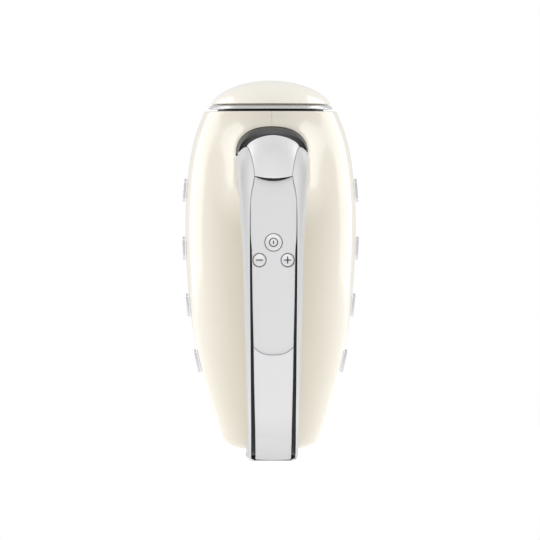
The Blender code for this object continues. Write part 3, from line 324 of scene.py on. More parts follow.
def solid(name, points, faces, material, angle=35.0):
    """A closed mesh in metres from points in millimetres, smooth but for edges sharper than an angle."""
    mesh = bpy.data.meshes.new(name)
    mesh.from_pydata([(x * MM, y * MM, z * MM) for x, y, z in points], [], faces)
    work = bmesh.new()
    work.from_mesh(mesh)
    bmesh.ops.remove_doubles(work, verts=work.verts, dist=1e-7)
    bmesh.ops.dissolve_degenerate(work, edges=work.edges, dist=1e-7)
    bmesh.ops.recalc_face_normals(work, faces=work.faces)
    work.to_mesh(mesh)
    work.free()
    obj = bpy.data.objects.new(name, mesh)
    bpy.context.scene.collection.objects.link(obj)
    return smoothed(obj, material, angle)


def smoothed(obj, material, angle=35.0):
    if material:
        obj.data.materials.clear()
        obj.data.materials.append(material)
    obj.data.shade_smooth()
    obj.data.set_sharp_from_angle(angle=math.radians(angle))
    return obj


def loft(name, rings, material=None, closed=False, angle=35.0):
    count = len(rings[0])
    faces = []
    for i in range(len(rings) if closed else len(rings) - 1):
        here, there = i * count, (i + 1) % len(rings) * count
        faces += [(here + j, here + (j + 1) % count, there + (j + 1) % count, there + j)
                  for j in range(count)]
    if not closed:
        faces += [tuple(reversed(range(count))), tuple(range((len(rings) - 1) * count, len(rings) * count))]
    return solid(name, [point for ring in rings for point in ring], faces, material, angle)


def slab(name, outer, inner, material, angle=35.0):
    """A closed plate between two equal grids of points."""
    rows, cols = len(outer), len(outer[0])
    points = [point for grid in (outer, inner) for row in grid for point in row]
    base, faces = rows * cols, []
    for i in range(rows - 1):
        for j in range(cols - 1):
            a, b = i * cols + j, (i + 1) * cols + j
            faces += [(a, a + 1, b + 1, b), (base + a, base + b, base + b + 1, base + a + 1)]
    rim = [j for j in range(cols)] + [i * cols + cols - 1 for i in range(1, rows)]
    rim += [(rows - 1) * cols + j for j in range(cols - 2, -1, -1)]
    rim += [i * cols for i in range(rows - 2, 0, -1)]
    faces += [(a, base + a, base + b, b) for a, b in zip(rim, rim[1:] + rim[:1])]
    return solid(name, points, faces, material, angle)


def turned(name, profile, centre, axis, material=None, steps=96, angle=30.0):
    """A turned solid. The profile's pairs are (radius, distance along the axis)."""
    along = {"X": lambda u, v, w: (w, u, v),
             "Y": lambda u, v, w: (u, w, v),
             "Z": lambda u, v, w: (u, v, w)}[axis]
    whole = not (profile[0][0] == 0 and profile[-1][0] == 0)
    count, points, faces = len(profile), [], []
    for i in range(steps):
        turn = 2 * math.pi * i / steps
        for radius, height in profile:
            x, y, z = along(radius * math.cos(turn), radius * math.sin(turn), height)
            points.append((centre[0] + x, centre[1] + y, centre[2] + z))
        here, there = i * count, (i + 1) % steps * count
        for j in range(count if whole else count - 1):
            k = (j + 1) % count
            faces.append((here + j, here + k, there + k, there + j))
    return solid(name, points, faces, material, angle)


def rounded(profile, radius, steps=4):
    """A profile with its inner corners rounded off; the first and last points stay."""
    made = [profile[0]]
    for before, corner, after in zip(profile, profile[1:], profile[2:]):
        c = Vector(corner)
        a, b = Vector(before) - c, Vector(after) - c
        reach = min(radius, a.length * 0.45, b.length * 0.45)
        start, end = c + a.normalized() * reach, c + b.normalized() * reach
        for i in range(steps + 1):
            t = i / steps
            made.append(tuple(start * (1 - t) ** 2 + c * 2 * t * (1 - t) + end * t ** 2))
    return made + [profile[-1]]


def box(name, low, high, material=None):
    corners = [(x, y, z) for x in (low[0], high[0]) for y in (low[1], high[1]) for z in (low[2], high[2])]
    faces = [(0, 1, 3, 2), (4, 6, 7, 5), (0, 4, 5, 1), (2, 3, 7, 6), (0, 2, 6, 4), (1, 5, 7, 3)]
    return solid(name, corners, faces, material)


def rounded_rectangle(half_x, half_y, radius, steps=12, centre=(0.0, 0.0)):
    outline = []
    for corner in range(4):
        cx = (half_x - radius) * (1 if corner in (0, 3) else -1)
        cy = (half_y - radius) * (1 if corner in (0, 1) else -1)
        for i in range(steps + 1):
            turn = math.pi / 2 * (corner + i / steps)
            outline.append((centre[0] + cx + radius * math.cos(turn),
                            centre[1] + cy + radius * math.sin(turn)))
    return outline


def boolean(obj, other, operation, angle=35.0):
    material = obj.data.materials[0] if obj.data.materials else None
    step = obj.modifiers.new(operation, "BOOLEAN")
    step.operation, step.object, step.solver = operation, other, "EXACT"
    graph = bpy.context.evaluated_depsgraph_get()
    mesh = bpy.data.meshes.new_from_object(obj.evaluated_get(graph))
    obj.modifiers.clear()
    obj.data = mesh
    bpy.data.objects.remove(other, do_unlink=True)
    return smoothed(obj, material, angle)


def carve(obj, *cutters, angle=35.0):
    for cutter in cutters:
        boolean(obj, cutter, "DIFFERENCE", angle)
    return obj


def mirrored(obj, name):
    points = [(-v.co.x / MM, v.co.y / MM, v.co.z / MM) for v in obj.data.vertices]
    faces = [tuple(reversed(face.vertices)) for face in obj.data.polygons]
    return solid(name, points, faces, obj.data.materials[0])


def bevelled(obj, width, segments=3, angle=40.0):
    step = obj.modifiers.new("soft_edges", "BEVEL")
    step.width, step.segments, step.limit_method = width * MM, segments, "ANGLE"
    step.angle_limit = math.radians(angle)
    step.harden_normals = False
    return obj


def place(obj, body, slot, *nodes):
    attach(obj, body)
    if nodes:
        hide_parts(*nodes)
    return obj


def spline(table, spot):
    """The values of a table's row at a spot in its first column, on a smooth curve through its rows."""
    last = len(table) - 1
    i = max(0, min(last - 1, sum(spot >= row[0] for row in table) - 1))
    p1, p2 = table[i], table[i + 1]
    p0 = table[i - 1] if i else tuple(2 * a - b for a, b in zip(p1, p2))
    p3 = table[i + 2] if i + 2 <= last else tuple(2 * b - a for a, b in zip(p1, p2))
    span = p2[0] - p1[0]
    t = min(1.0, max(0.0, (spot - p1[0]) / span))
    found = []
    for c in range(1, len(p1)):
        m1 = (p2[c] - p0[c]) / (p2[0] - p0[0]) * span
        m2 = (p3[c] - p1[c]) / (p3[0] - p1[0]) * span
        found.append((2 * t**3 - 3 * t**2 + 1) * p1[c] + (t**3 - 2 * t**2 + t) * m1
                     + (3 * t**2 - 2 * t**3) * p2[c] + (t**3 - t**2) * m2)
    return found


def straight(table, spot):
    for (p0, v0), (p1, v1) in zip(table, table[1:]):
        if spot <= p1:
            return v0 + (v1 - v0) * max(0.0, spot - p0) / (p1 - p0)
    return table[-1][1]


def power(value, exponent):
    return math.copysign(abs(value) ** exponent, value)


def quarter(distance, radius):
    """How far a rounded edge has dropped at a distance in from the edge."""
    inward = max(0.0, radius - max(0.0, distance))
    return radius - math.sqrt(max(0.0, radius * radius - inward * inward))


# ---------------------------------------------------------------- body shell

REAR_Z, NOSE_Z, WALL = 5.0, 183.8, 2.4
BODY_POWER, REAR_ROUNDING = 2.2, 10.0
BODY_STATIONS = [
    (5.0, 23.6, 20.0, 22.0),
    (25.0, 30.2, 26.0, 28.0),
    (50.0, 37.4, 32.5, 34.5),
    (80.0, 42.6, 37.5, 39.5),
    (122.0, 45.1, 40.5, 43.0),
    (152.0, 43.5, 40.3, 42.3),
    (170.0, 40.1, 38.0, 39.3),
    (183.8, 35.0, 34.6, 35.0),
]
COLUMN_FRONT_Z, COLUMN_BACK_Z, LENS_BACK_Z, LENS_POWER = 164.5, 134.5, 161.0, 2.3
SPINDLE_Z, SPINDLE_X = 155.0, 18.0
COWL_Y, COWL_FOOT, COWL_FACE = (27.0, 45.0), (33.0, 19.6), (28.0, 17.0)


def collar_rise(x, z):
    corner = 13.0
    dx = max(abs(x) - (19.4 - corner), 0.0)
    dz = max(abs(z - (COLUMN_BACK_Z + 175.9) / 2) - (20.7 - corner), 0.0)
    distance = max(math.hypot(dx, dz) - corner, 0.0)
    return 7.0 * max(0.0, 1 - distance / 14.0) ** 2.4


def body_ring(z, grow=0.0, collar=True, steps=192):
    half_x, half_handle, half_beater = spline(BODY_STATIONS, z)
    share = max(0.0, min(1.0, (z - REAR_Z) / REAR_ROUNDING))
    closing = (1 - (1 - share) ** 4) ** (1 / 4)
    edge = quarter(NOSE_Z - z, 0.7) if grow == 0 else 0.0
    ring = []
    for i in range(steps):
        turn = 2 * math.pi * i / steps
        c, s = power(math.cos(turn), 2 / BODY_POWER), power(math.sin(turn), 2 / BODY_POWER)
        x = (half_x * closing + grow - edge) * c
        y = ((half_beater if s > 0 else half_handle) * closing + grow - edge) * s
        if collar and s < 0:
            y -= collar_rise(x, z)
        ring.append((x, y, z))
    return ring


def column_outline(half_x, grow, steps=24):
    """The handle's column with its window, in section: half_x is the column's half width."""
    front = 175.68 - LENS_BACK_Z + grow
    outline = []
    for i in range(2 * steps + 1):
        turn = math.pi * i / (2 * steps)
        outline.append(((half_x + grow) * power(math.cos(turn), 2 / LENS_POWER),
                        LENS_BACK_Z + front * power(math.sin(turn), 2 / LENS_POWER)))
    flank = [(half_x, v) for v in (4.0, 10.0, 16.0)]
    flank += [(half_x - 7 + 7 * math.cos(math.pi / 16 * i), 23 + 7 * math.sin(math.pi / 16 * i))
              for i in range(9)]
    flank = [(u * (1 - 0.095 * (v - 4) / 30) + grow, COLUMN_FRONT_Z - v) for u, v in flank]
    return outline + [(-u, z) for u, z in flank] + list(reversed(flank))


def cowl_rings(grow, span, steps=14):
    rings = []
    for y in span:
        share = (y - COWL_Y[0]) / (COWL_Y[1] - COWL_Y[0])
        half = [foot + (face - foot) * share + grow for foot, face in zip(COWL_FOOT, COWL_FACE)]
        outline = rounded_rectangle(half[0], half[1], min(half) - 1.0, steps, (0.0, SPINDLE_Z))
        rings.append([(x, y, z) for x, z in outline])
    return rings


def make_housings():
    heights = [REAR_Z + REAR_ROUNDING * (i / 16) ** 2.2 for i in range(17)]
    heights[0] = REAR_Z + 0.02
    heights += [REAR_Z + REAR_ROUNDING + 2.2 * i for i in range(1, 46)]
    top = heights[-1]
    heights += [top + (NOSE_Z - 0.7 - top) * i / 44 for i in range(1, 45)]
    heights += [NOSE_Z - d for d in (0.5, 0.3, 0.12, 0.0)]
    shell = loft("housing", [body_ring(z) for z in heights], CREAM)
    within = [REAR_Z + WALL + d for d in (0.02, 1.5, 4.5)] + [18, 32, 55, 85, 118, 150, 168, NOSE_Z - WALL]
    carve(shell,
          loft("hollow", [body_ring(z, -WALL, False, 64) for z in within]),
          turned("nose_opening", [(0, 170), (28.4, 170), (28.4, NOSE_Z - 0.5), (29.2, 190), (0, 190)],
                 (0, 0, 0), "Z"),
          loft("column_opening", [[(x, y, z) for x, z in column_outline(half, 0.03)]
                                  for y, half in ((-70, 18.75), (-28, 19.2), (-18, 19.2))]),
          loft("cowl_opening", cowl_rings(0.35, (20.0, 60.0))),
          turned("gland_hole", [(0, 10), (5.4, 10), (5.4, 45), (0, 45)], (0, 0, 27.0), "Y"))
    for row in range(6):
        z, outer = 66.0 + 6.0 * row, 17.0 - 0.5 * abs(row - 2.5)
        slot = rounded_rectangle((outer - 3.0) / 2, 1.2, 1.15, 6, ((outer + 3.0) / 2, z))
        carve(shell, loft("vent_slot", [[(x, y, w) for x, w in slot] for y in (25, 60)]))
    carve(shell, turned("heel_screw_hole", [(0, 0), (1.8, 0), (1.8, 12), (0, 12)], (7.0, 0, 0), "Z"),
          box("other_half", (-70, -80, -10), (0.05, 80, 220)))
    shell.name = "housing_right_shell"
    place(mirrored(shell, "housing_left_shell"), BODY, "cream_body", "housing_left")
    place(shell, BODY, "cream_body", "housing_right")


# ---------------------------------------------------------------- nose

def make_nose():
    neck = [(25.5, 178.4), (31.0, 178.4), (31.0, 181.0), (28.0, 181.0), (28.0, 184.75), (24.0, 184.75),
            (24.0, 189.5), (22.0, 189.5), (22.0, 183.0), (25.5, 183.0)]
    place(turned("nose_neck_ring", neck, (0, 0, 0), "Z", BLACK, 128), BODY, "black_plastic", "nose_neck")
    ring = [(24.4, 185.05), (32.75, 185.05), (33.05, 185.35), (32.0, 186.35), (30.6, 187.5), (24.4, 187.5)]
    chrome_ring = turned("nose_chrome_ring", rounded(ring, 0.22), (0, 0, 0), "Z", CHROME, 160)
    place(chrome_ring, BODY, "chrome", "nose_ring")

    def height(radius):
        return 182.4 + 17.8 * math.sqrt(1 - (radius / 33.3) ** 2)

    outer = [(31.6 * math.sin(math.pi / 2 * i / 40), height(31.6 * math.sin(math.pi / 2 * i / 40)))
             for i in range(41)]
    inner = [(29.0 * (1 - i / 12), max(187.8, height(29.0 * (1 - i / 12)) - 2.6)) for i in range(13)]
    profile = [*outer, (31.55, 187.88), (31.42, 187.8), (29.0, 187.8), *inner[1:]]
    place(turned("nose_dome", profile, (0, 0, 0), "Z", CREAM, 160), BODY, "cream_body", "nose_cap")


# ---------------------------------------------------------------- handle

TOP_Y, TOP_CORNER, TOP_CROWN = -96.0, 16.0, 2.6
GRIP_UNDER_Y, FINGER_CORNER = -69.0, 10.0
REAR_TOP_Y, REAR_CORNER, HEEL_EDGE_Z = -93.0, 13.0, 0.4
WEB_TOP_Z, REAR_FINGER_CORNER = 16.0, 9.0
COLUMN_FOOT_Y, HEEL_END_Y, TONGUE_TOP_Z, STRAP_FLOOR = -28.0, 22.0, 4.3, 2.5
OUTER_HALF = [(0, 19.2), (1, 18.9), (2, 18.3), (2.6, 18.0), (3, 17.15), (3.1, 16.5), (3.2, 16.0),
              (3.3, 15.65), (3.5, 15.15), (3.7, 14.6), (3.8, 14.3), (3.9, 13.95), (4, 13.5), (4.5, 13.2),
              (6, 13.0)]
INNER_HALF = [(0, 17.3), (1, 16.8), (1.70, 16.2), (1.95, 14.0), (2, 13.9), (2.4, 12.2), (2.85, 10.2),
              (3, 10.3), (3.026, 11.0), (3.05, 11.65), (3.075, 12.1), (3.13, 12.4), (3.28, 12.45),
              (3.48, 12.3), (3.64, 12.1), (3.79, 11.95), (4, 11.7), (6, 11.6)]
TAPER = [(0, 0.095), (2, 0.095), (3, 0.0), (6, 0.0)]
EDGE_DEPTH = [(0, 3.8), (1.74, 4.4), (1.9, 0.6), (2, 0.0), (6, 0.0)]
PANEL_HALF = [(2.9, 12.1), (3.2, 12.1), (3.24, 11.9), (3.28, 11.45), (3.36, 11.25), (3.48, 11.0),
              (3.55, 10.8), (3.635, 10.52), (3.79, 10.18), (3.87, 9.92), (3.947, 9.69), (4, 9.55), (5.1, 9.2)]
BUTTONS = {"power": (0.0, 114.5, 4.5), "minus": (-7.4, 105.2, 3.35), "plus": (7.4, 105.2, 3.35)}


PANEL_GAP = 0.07


def arc(centre, radius, first, last, share):
    turn = math.radians(first + (last - first) * share)
    return centre[0] - radius * math.sin(turn), centre[1] + radius * math.cos(turn)


def bowed(start, end, bow, share):
    y = start[0] + (end[0] - start[0]) * share - bow * 4 * share * (1 - share)
    return y, start[1] + (end[1] - start[1]) * share


def rib(spot):
    """The strap's outer and finger-side points (y, z) at a spot along it; the whole part names the leg."""
    leg = min(int(spot), 5)
    share = spot - leg
    front = (TOP_Y + TOP_CORNER, COLUMN_FRONT_Z - TOP_CORNER)
    rear = (REAR_TOP_Y + REAR_CORNER, HEEL_EDGE_Z + REAR_CORNER)
    finger_front = (GRIP_UNDER_Y + FINGER_CORNER, COLUMN_BACK_Z - FINGER_CORNER)
    finger_rear = (GRIP_UNDER_Y + 3.0 + REAR_FINGER_CORNER, WEB_TOP_Z + REAR_FINGER_CORNER)
    if leg == 0:
        y = COLUMN_FOOT_Y + (finger_front[0] + 3.0 - COLUMN_FOOT_Y) * share
        return (y, COLUMN_FRONT_Z), (y, COLUMN_BACK_Z)
    if leg == 1:
        y = finger_front[0] + 3.0 + (front[0] - finger_front[0] - 3.0) * share
        return (y, COLUMN_FRONT_Z), arc(finger_front, FINGER_CORNER, 0, 40, share)
    if leg == 2:
        return arc(front, TOP_CORNER, 0, 90, share), arc(finger_front, FINGER_CORNER, 40, 90, share)
    if leg == 3:
        top = bowed((TOP_Y, front[1]), (REAR_TOP_Y, rear[1]), TOP_CROWN, share)
        under = bowed((GRIP_UNDER_Y, finger_front[1]), (GRIP_UNDER_Y + 3.0, finger_rear[1]), 1.5, share)
        return top, under
    if leg == 4:
        return arc(rear, REAR_CORNER, 90, 180, share), arc(finger_rear, REAR_FINGER_CORNER, 90, 180, share)
    y = rear[0] + (HEEL_END_Y - rear[0]) * share
    under = [(0.0, WEB_TOP_Z), (0.56, WEB_TOP_Z), (0.68, TONGUE_TOP_Z), (1.0, TONGUE_TOP_Z)]
    lead = (finger_rear[0] - rear[0]) * max(0.0, 1 - share / 0.4)
    return (y, HEEL_EDGE_Z), (y + lead, straight(under, share))


def on_rib(spot, u, depth):
    (y0, z0), (y1, z1) = rib(spot)
    length = math.hypot(y1 - y0, z1 - z0)
    return u, y0 + (y1 - y0) * depth / length, z0 + (z1 - z0) * depth / length


def on_face(spot, u, depth):
    """Like on_rib, but with the depth square to the strap's outer line."""
    (ya, za), (yb, zb) = rib(spot - 0.004)[0], rib(spot + 0.004)[0]
    (y0, z0), _ = rib(spot)
    length = math.hypot(yb - ya, zb - za)
    return u, y0 - (zb - za) * depth / length, z0 + (yb - ya) * depth / length


def past_corner(reach):
    """The spot at a distance along the outer line from the end of the front corner."""
    return 3 + reach / (134.7 if reach > 0 else TOP_CORNER * math.pi / 2)


def spot_of(point):
    """The spot whose rib passes through a point of the front corner, the grip or the heel."""
    low, high = 2.0, 6.0
    while high - low > 1e-5:
        spot = (low + high) / 2
        (y0, z0), (y1, z1) = rib(spot)
        if (y1 - y0) * (point[2] - z0) > (z1 - z0) * (point[1] - y0):
            high = spot
        else:
            low = spot
    return spot


def panel_half(spot, point):
    """Half the width of a plate in the channel, clear of the channel's sides at a point of its underside."""
    return min(spline(PANEL_HALF, spot)[0], inner_half(spot_of(point)) - PANEL_GAP)


def rib_length(spot):
    (y0, z0), (y1, z1) = rib(spot)
    return math.hypot(y1 - y0, z1 - z0)


def inner_half(spot):
    return spline(INNER_HALF, spot)[0]


def frame_section(spot):
    """The strap's U-shaped section as (u, depth): a soft lip, a rounded flank and the channel inside."""
    outer, inner, deep = spline(OUTER_HALF, spot)[0], inner_half(spot), rib_length(spot)
    edge = straight(EDGE_DEPTH, spot)
    share = min(1.0, max(0.0, (edge - 0.3) / 2.0))
    shoulder = min(5.0, 0.45 * deep) * (1 - share) + 0.5 * share
    corner = min(7.0, 0.45 * deep)
    floor = min(max(deep - STRAP_FLOOR, 1.3), straight([(5.1, 99.0), (5.25, 1.3), (6, 1.3)], spot))
    chamfer = min(4.0, 0.6 * (floor - edge))
    lip = min(0.16, 0.3 * (outer - inner))
    right = []
    for i in range(5):
        turn = math.pi / 8 * i
        right.append((inner + lip - lip * math.cos(turn), edge + lip - lip * math.sin(turn)))
    for i in range(1, 13):
        turn = math.pi / 24 * i
        right.append((inner + lip + (outer - inner - lip) * power(math.sin(turn), 1.2),
                      edge + shoulder * (1 - power(math.cos(turn), 1.2))))
    for i in range(11):
        turn = math.pi / 20 * i
        right.append((outer - corner + corner * math.cos(turn), deep - corner + corner * math.sin(turn)))
    narrowing = straight(TAPER, spot) / deep
    right = [(u * (1 - narrowing * max(0.0, v - 4.0)), v) for u, v in right]
    low = inner * (1 - narrowing * max(0.0, floor - chamfer - 4.0))
    left = [(-u, v) for u, v in reversed(right)]
    return right + left + [(-low, floor - chamfer), (chamfer - low, floor), (low - chamfer, floor),
                           (low, floor - chamfer)]


def make_frame():
    spots = sorted({round(leg + i / steps, 4) for leg, steps in enumerate((6, 14, 26, 60, 22, 40))
                    for i in range(steps)}
                   | {1.74, 1.78, 1.82, 1.86, 1.9, 5.1, 5.25, 5.56, 5.68, 6.0})
    shell = loft("handle_strap", [[on_rib(s, u, v) for u, v in frame_section(s)] for s in spots], SILVER)
    seat = [body_ring(z, 0.4, False, 96)
            for z in [REAR_Z + d for d in (0.02, 0.2, 0.5, 1.0, 1.8, 3.2, 5.0, 7.5, 10.0)]
            + [20, 28, 36, 44]]
    seat = loft("rear_seat", [[(x, y, z - 0.35) for x, y, z in ring] for ring in seat])
    carve(shell, seat)
    place(shell, BODY, "satin_silver", "handle_frame")


def make_core():
    def section(spot):
        half, deep = inner_half(spot) - 0.35, rib_length(spot) - STRAP_FLOOR - 0.35
        (y0, z0), (y1, z1) = rib(spot)
        front = 4.4 * math.hypot(1.0, (z1 - z0) / (y1 - y0)) if spot < 3.68 else 4.4
        return [(half, front), (half, deep - 4.2), (half - 4.2, deep), (4.2 - half, deep),
                (-half, deep - 4.2), (-half, front)]
    spots = [3.03] + [3.03 + 0.02 * i for i in range(1, 49)] + [4 + i / 12 for i in range(1, 13)]
    spots += [5.04, 5.08]
    core = loft("handle_liner", [[on_rib(s, u, v) for u, v in section(s)] for s in spots], BLACK)
    carve(core, box("board_pocket", (-9.9, -99, 63), (9.9, -83.5, 139)),
          box("button_notch", (-13, -99, 100.8), (13, -90.6, 109.6)))
    place(core, BODY, "black_plastic", "handle_core")


def shares(count, edge):
    """Even shares from 0 to 1 with extra ones close to both ends."""
    close = [edge * d for d in (0.0, 0.12, 0.3, 0.6, 1.0)]
    middle = [edge + (1 - 2 * edge) * i / count for i in range(1, count)]
    return close + middle + [1 - c for c in reversed(close)]


def insert(name, first, last, point, depth, thickness, material, length, count=90, soft=0.3):
    """A plate in the strap's channel. The functions first and last give its ends at a share of its width."""
    outer, inner = [], []
    for along in shares(count, soft / length):
        top, under = [], []
        for side in shares(28, soft / 20.0):
            share = 2 * side - 1
            spot = first(share) + (last(share) - first(share)) * along
            half = panel_half(spot, point(spot, 0.0, depth(spot, share) + thickness))
            drop = quarter(min(half * (1 - abs(share)), along * length, (1 - along) * length), soft)
            top.append(point(spot, half * share, depth(spot, share) + drop))
            under.append(point(spot, half * share, depth(spot, share) + thickness))
        outer.append(top)
        inner.append(under)
    return slab(name, outer, inner, material)


def scoop_depth(spot, share):
    hollow = spline([(2.9, 1.6), (3.09, 1.5), (3.35, 0.7), (3.6, 0.2), (3.75, 0.0)], spot)[0]
    middle = spline([(2.9, 2.4), (3.1, 2.4), (3.3, 2.1), (3.5, 2.0), (3.62, 1.9), (3.67, 1.7), (3.73, 0.9)],
                    spot)[0]
    return middle - hollow * share**2


def panel_start(share):
    return past_corner(-0.75 + 2.4 * (1 - share**2))


def panel_end(share):
    return 3.6584 + 0.0304 * (1 - abs(share) ** 2.7)


def rear_depth(spot, share):
    return 0.3 + 0.5 * share**2 - straight([(4.3, 0.0), (4.8, 0.45), (6.0, 0.45)], spot)


def make_panels():
    panel = insert("thumb_panel", panel_start, panel_end, on_face, scoop_depth, 1.5, PANEL, 92.0)
    for x, z, radius in BUTTONS.values():
        flare = 1.7 if x == 0 else 1.0
        hole = [(0, -110), (radius + flare, -110), (radius + flare, -96.0), (radius + 0.26, -94.7),
                (radius + 0.26, -80), (0, -80)]
        carve(panel, turned("button_hole", hole, (x, 0, z), "Y", None, 72))
    place(panel, BODY, "panel_silver", "control_panel")
    rear = insert("rear_plate", lambda share: panel_end(share) + 0.0006, lambda share: 5.06, on_rib,
                  rear_depth, 1.7, SILVER, 84.0, 120)
    place(rear, BODY, "satin_silver", "rear_panel")


def crowned(name, rows, material, bulge_power, across=56):
    """A domed shell. Each row is (point, half width, bulge, wall), and point(u, v) places a section point."""
    outer, inner = [], []
    for point, half, bulge, wall in rows:
        top, under = [], []
        for j in range(across + 1):
            turn = math.pi * (j / across - 0.5)
            s, c = power(math.sin(turn), 2 / bulge_power), power(math.cos(turn), 2 / bulge_power)
            top.append(point(half * s, -bulge * c))
            under.append(point((half - wall) * s, -(bulge - wall) * c))
        outer.append(top)
        inner.append(under)
    return slab(name, outer, inner, material)


def make_lens():
    edges = [-65.9, -66.1, -72.9, -73.0]
    stations = sorted([-36.0 - 37.2 * share for share in shares(32, 0.02)] + edges, reverse=True)
    outer, inner = zip(*(window_section(y) for y in stations))
    place(slab("display_window", outer, inner, LENS), BODY, "black_lens", "display_lens")


def window_section(y, across=72, sides=6):
    """The window's outer and inner outline, with a thick front edge above the eject button's path."""
    drop = quarter(y + 73.2, 0.4)
    half = straight([(-73.2, 17.9), (-47, 18.9), (-36, 19.0)], y) - drop
    bulge = spline([(-73.2, 11.0), (-71, 11.9), (-68, 12.7), (-60, 13.7), (-36, 14.6)], y)[0] - drop
    wall = straight([(-73.2, 0.7), (-68, 1.1), (-60, 1.6), (-36, 1.6)], y) - drop
    outer = arch(y, half, LENS_BACK_Z, bulge, LENS_POWER, across)
    inner = arch(y, half - wall, LENS_BACK_Z, bulge - wall, LENS_POWER, across)
    if -72.95 < y < -66.0:
        inner[sides:-sides] = arch(y, 14.1, 164.6, 6.5, 1.7, across - 2 * sides)
    return outer, inner


def arch(y, half, base, rise, exponent, across):
    """Half a squarish oval standing on the height base, from one side to the other."""
    points = []
    for j in range(across + 1):
        turn = math.pi * (j / across - 0.5)
        s, c = power(math.sin(turn), 2 / exponent), power(math.cos(turn), 2 / exponent)
        points.append((half * s, y, base + rise * c))
    return points


def eject_point(along, half, u, depth):
    """A point of the eject button, a share of the way along it."""
    last = past_corner(-0.9 + 1.4 * (1 - min(1.0, abs(u) / half) ** 2))
    return on_face(1.731 + (last - 1.731) * along, u, depth)


def make_eject_button():
    rows = []
    for share in shares(70, 0.02):
        spot = 1.731 + (past_corner(-0.9) - 1.731) * share
        drop = quarter((1 - share) * 26.0, 0.4)
        half = min(13.7, inner_half(spot) - 0.13)
        bulge = spline([(1.6, 6.0), (2.0, 6.3), (2.4, 5.6), (2.8, 3.4), (3.0, 2.5), (3.1, 2.3)],
                       spot)[0] - drop
        rows.append((lambda u, v, a=share, h=half: eject_point(a, h, u, v), half, bulge, 1.9 - drop))
    cap = crowned("eject_cap", rows, SILVER, 1.7, 64)
    boss = turned("boss", [(0, -96.6), (3.6, -96.6), (3.6, -88.0), (0, -88.0)], (0, 0, 157.0), "Y", None, 32)
    place(boolean(cap, boss, "UNION"), "eject", "satin_silver", "eject_button")


def make_buttons():
    for name, (x, z, radius) in BUTTONS.items():
        profile = [(0, -94.35), (radius - 1.0, -94.4), (radius - 0.55, -94.5), (radius - 0.15, -94.35),
                   (radius, -94.1), (radius, -91.9), (1.6, -91.9), (1.6, -90.9), (0, -90.9)]
        button = turned(f"{name}_key", profile, (x, 0, z), "Y",
                        spun(f"{name}_key_face", (0.84, 0.84, 0.85), x, z), 72)
        place(button, name, "button_metal", f"{name}_button")
        strokes = []
        if name == "power":
            ring = [(1.9, -94.42), (2.4, -94.42), (2.4, -94.3), (1.9, -94.3)]
            strokes.append(turned("power_symbol_ring", ring, (x, 0, z), "Y", INK, 64))
            strokes.append(stroke("power_symbol_bar", x, z, 0.27, 0.85))
        else:
            strokes.append(stroke(f"{name}_symbol_bar", x, z, 1.93, 0.29))
            if name == "plus":
                strokes.append(stroke("plus_symbol_upright", x, z, 0.29, 1.93, 0.02))
        for mark in strokes:
            place(mark, name, "button_metal")


def stroke(name, x, z, half_x, half_z, rise=0.0):
    outline = rounded_rectangle(half_x, half_z, min(half_x, half_z) * 0.9, 5, (x, z))
    return loft(name, [[(u, y, w) for u, w in outline] for y in (-94.44 - rise, -94.3)], INK)


# ---------------------------------------------------------------- repeated shapes

class Tree:
    """A Geometry Nodes tree with named inputs, built node by node."""

    def __init__(self, name, **sizes):
        self.group = bpy.data.node_groups.new(name, "GeometryNodeTree")
        self.group.interface.new_socket("Geometry", in_out="INPUT", socket_type="NodeSocketGeometry")
        self.group.interface.new_socket("Geometry", in_out="OUTPUT", socket_type="NodeSocketGeometry")
        self.ids = {}
        for label, value in sizes.items():
            kind = "NodeSocketInt" if isinstance(value, int) else "NodeSocketFloat"
            item = self.group.interface.new_socket(label, in_out="INPUT", socket_type=kind)
            self.ids[label] = (item.identifier, value)
        self.inputs = self.group.nodes.new("NodeGroupInput")
        self.geometry = self.inputs.outputs["Geometry"]

    def size(self, label):
        return self.inputs.outputs[label]

    def add(self, kind, settings=None, inputs=None, out=0):
        node = self.group.nodes.new(kind)
        for key, value in (settings or {}).items():
            setattr(node, key, value)
        for key, value in (inputs or {}).items():
            if isinstance(value, bpy.types.NodeSocket):
                self.group.links.new(value, node.inputs[key])
            else:
                node.inputs[key].default_value = value
        return node.outputs[out]

    def made(self, obj, geometry, material, angle=35.0):
        """Ends the tree, runs it on an object and leaves a plain mesh."""
        real = self.add("GeometryNodeRealizeInstances", None, {"Geometry": geometry})
        done = self.add("GeometryNodeSetMaterial", None, {"Geometry": real, "Material": material})
        end = self.group.nodes.new("NodeGroupOutput")
        self.group.links.new(done, end.inputs[0])
        step = obj.modifiers.new("shape", "NODES")
        step.node_group = self.group
        for identifier, value in self.ids.values():
            step[identifier] = value
        graph = bpy.context.evaluated_depsgraph_get()
        mesh = bpy.data.meshes.new_from_object(obj.evaluated_get(graph))
        obj.modifiers.clear()
        result = bpy.data.objects.new(obj.name, mesh)
        name = obj.name
        bpy.data.objects.remove(obj, do_unlink=True)
        result.name = name
        bpy.context.scene.collection.objects.link(result)
        work = bmesh.new()
        work.from_mesh(mesh)
        bmesh.ops.remove_doubles(work, verts=work.verts, dist=1e-6)
        bmesh.ops.recalc_face_normals(work, faces=work.faces)
        work.to_mesh(mesh)
        work.free()
        return smoothed(result, material, angle)


def path_object(name, points):
    mesh = bpy.data.meshes.new(name)
    mesh.from_pydata([(x * MM, y * MM, z * MM) for x, y, z in points],
                     [(i, i + 1) for i in range(len(points) - 1)], [])
    obj = bpy.data.objects.new(name, mesh)
    bpy.context.scene.collection.objects.link(obj)
    return obj


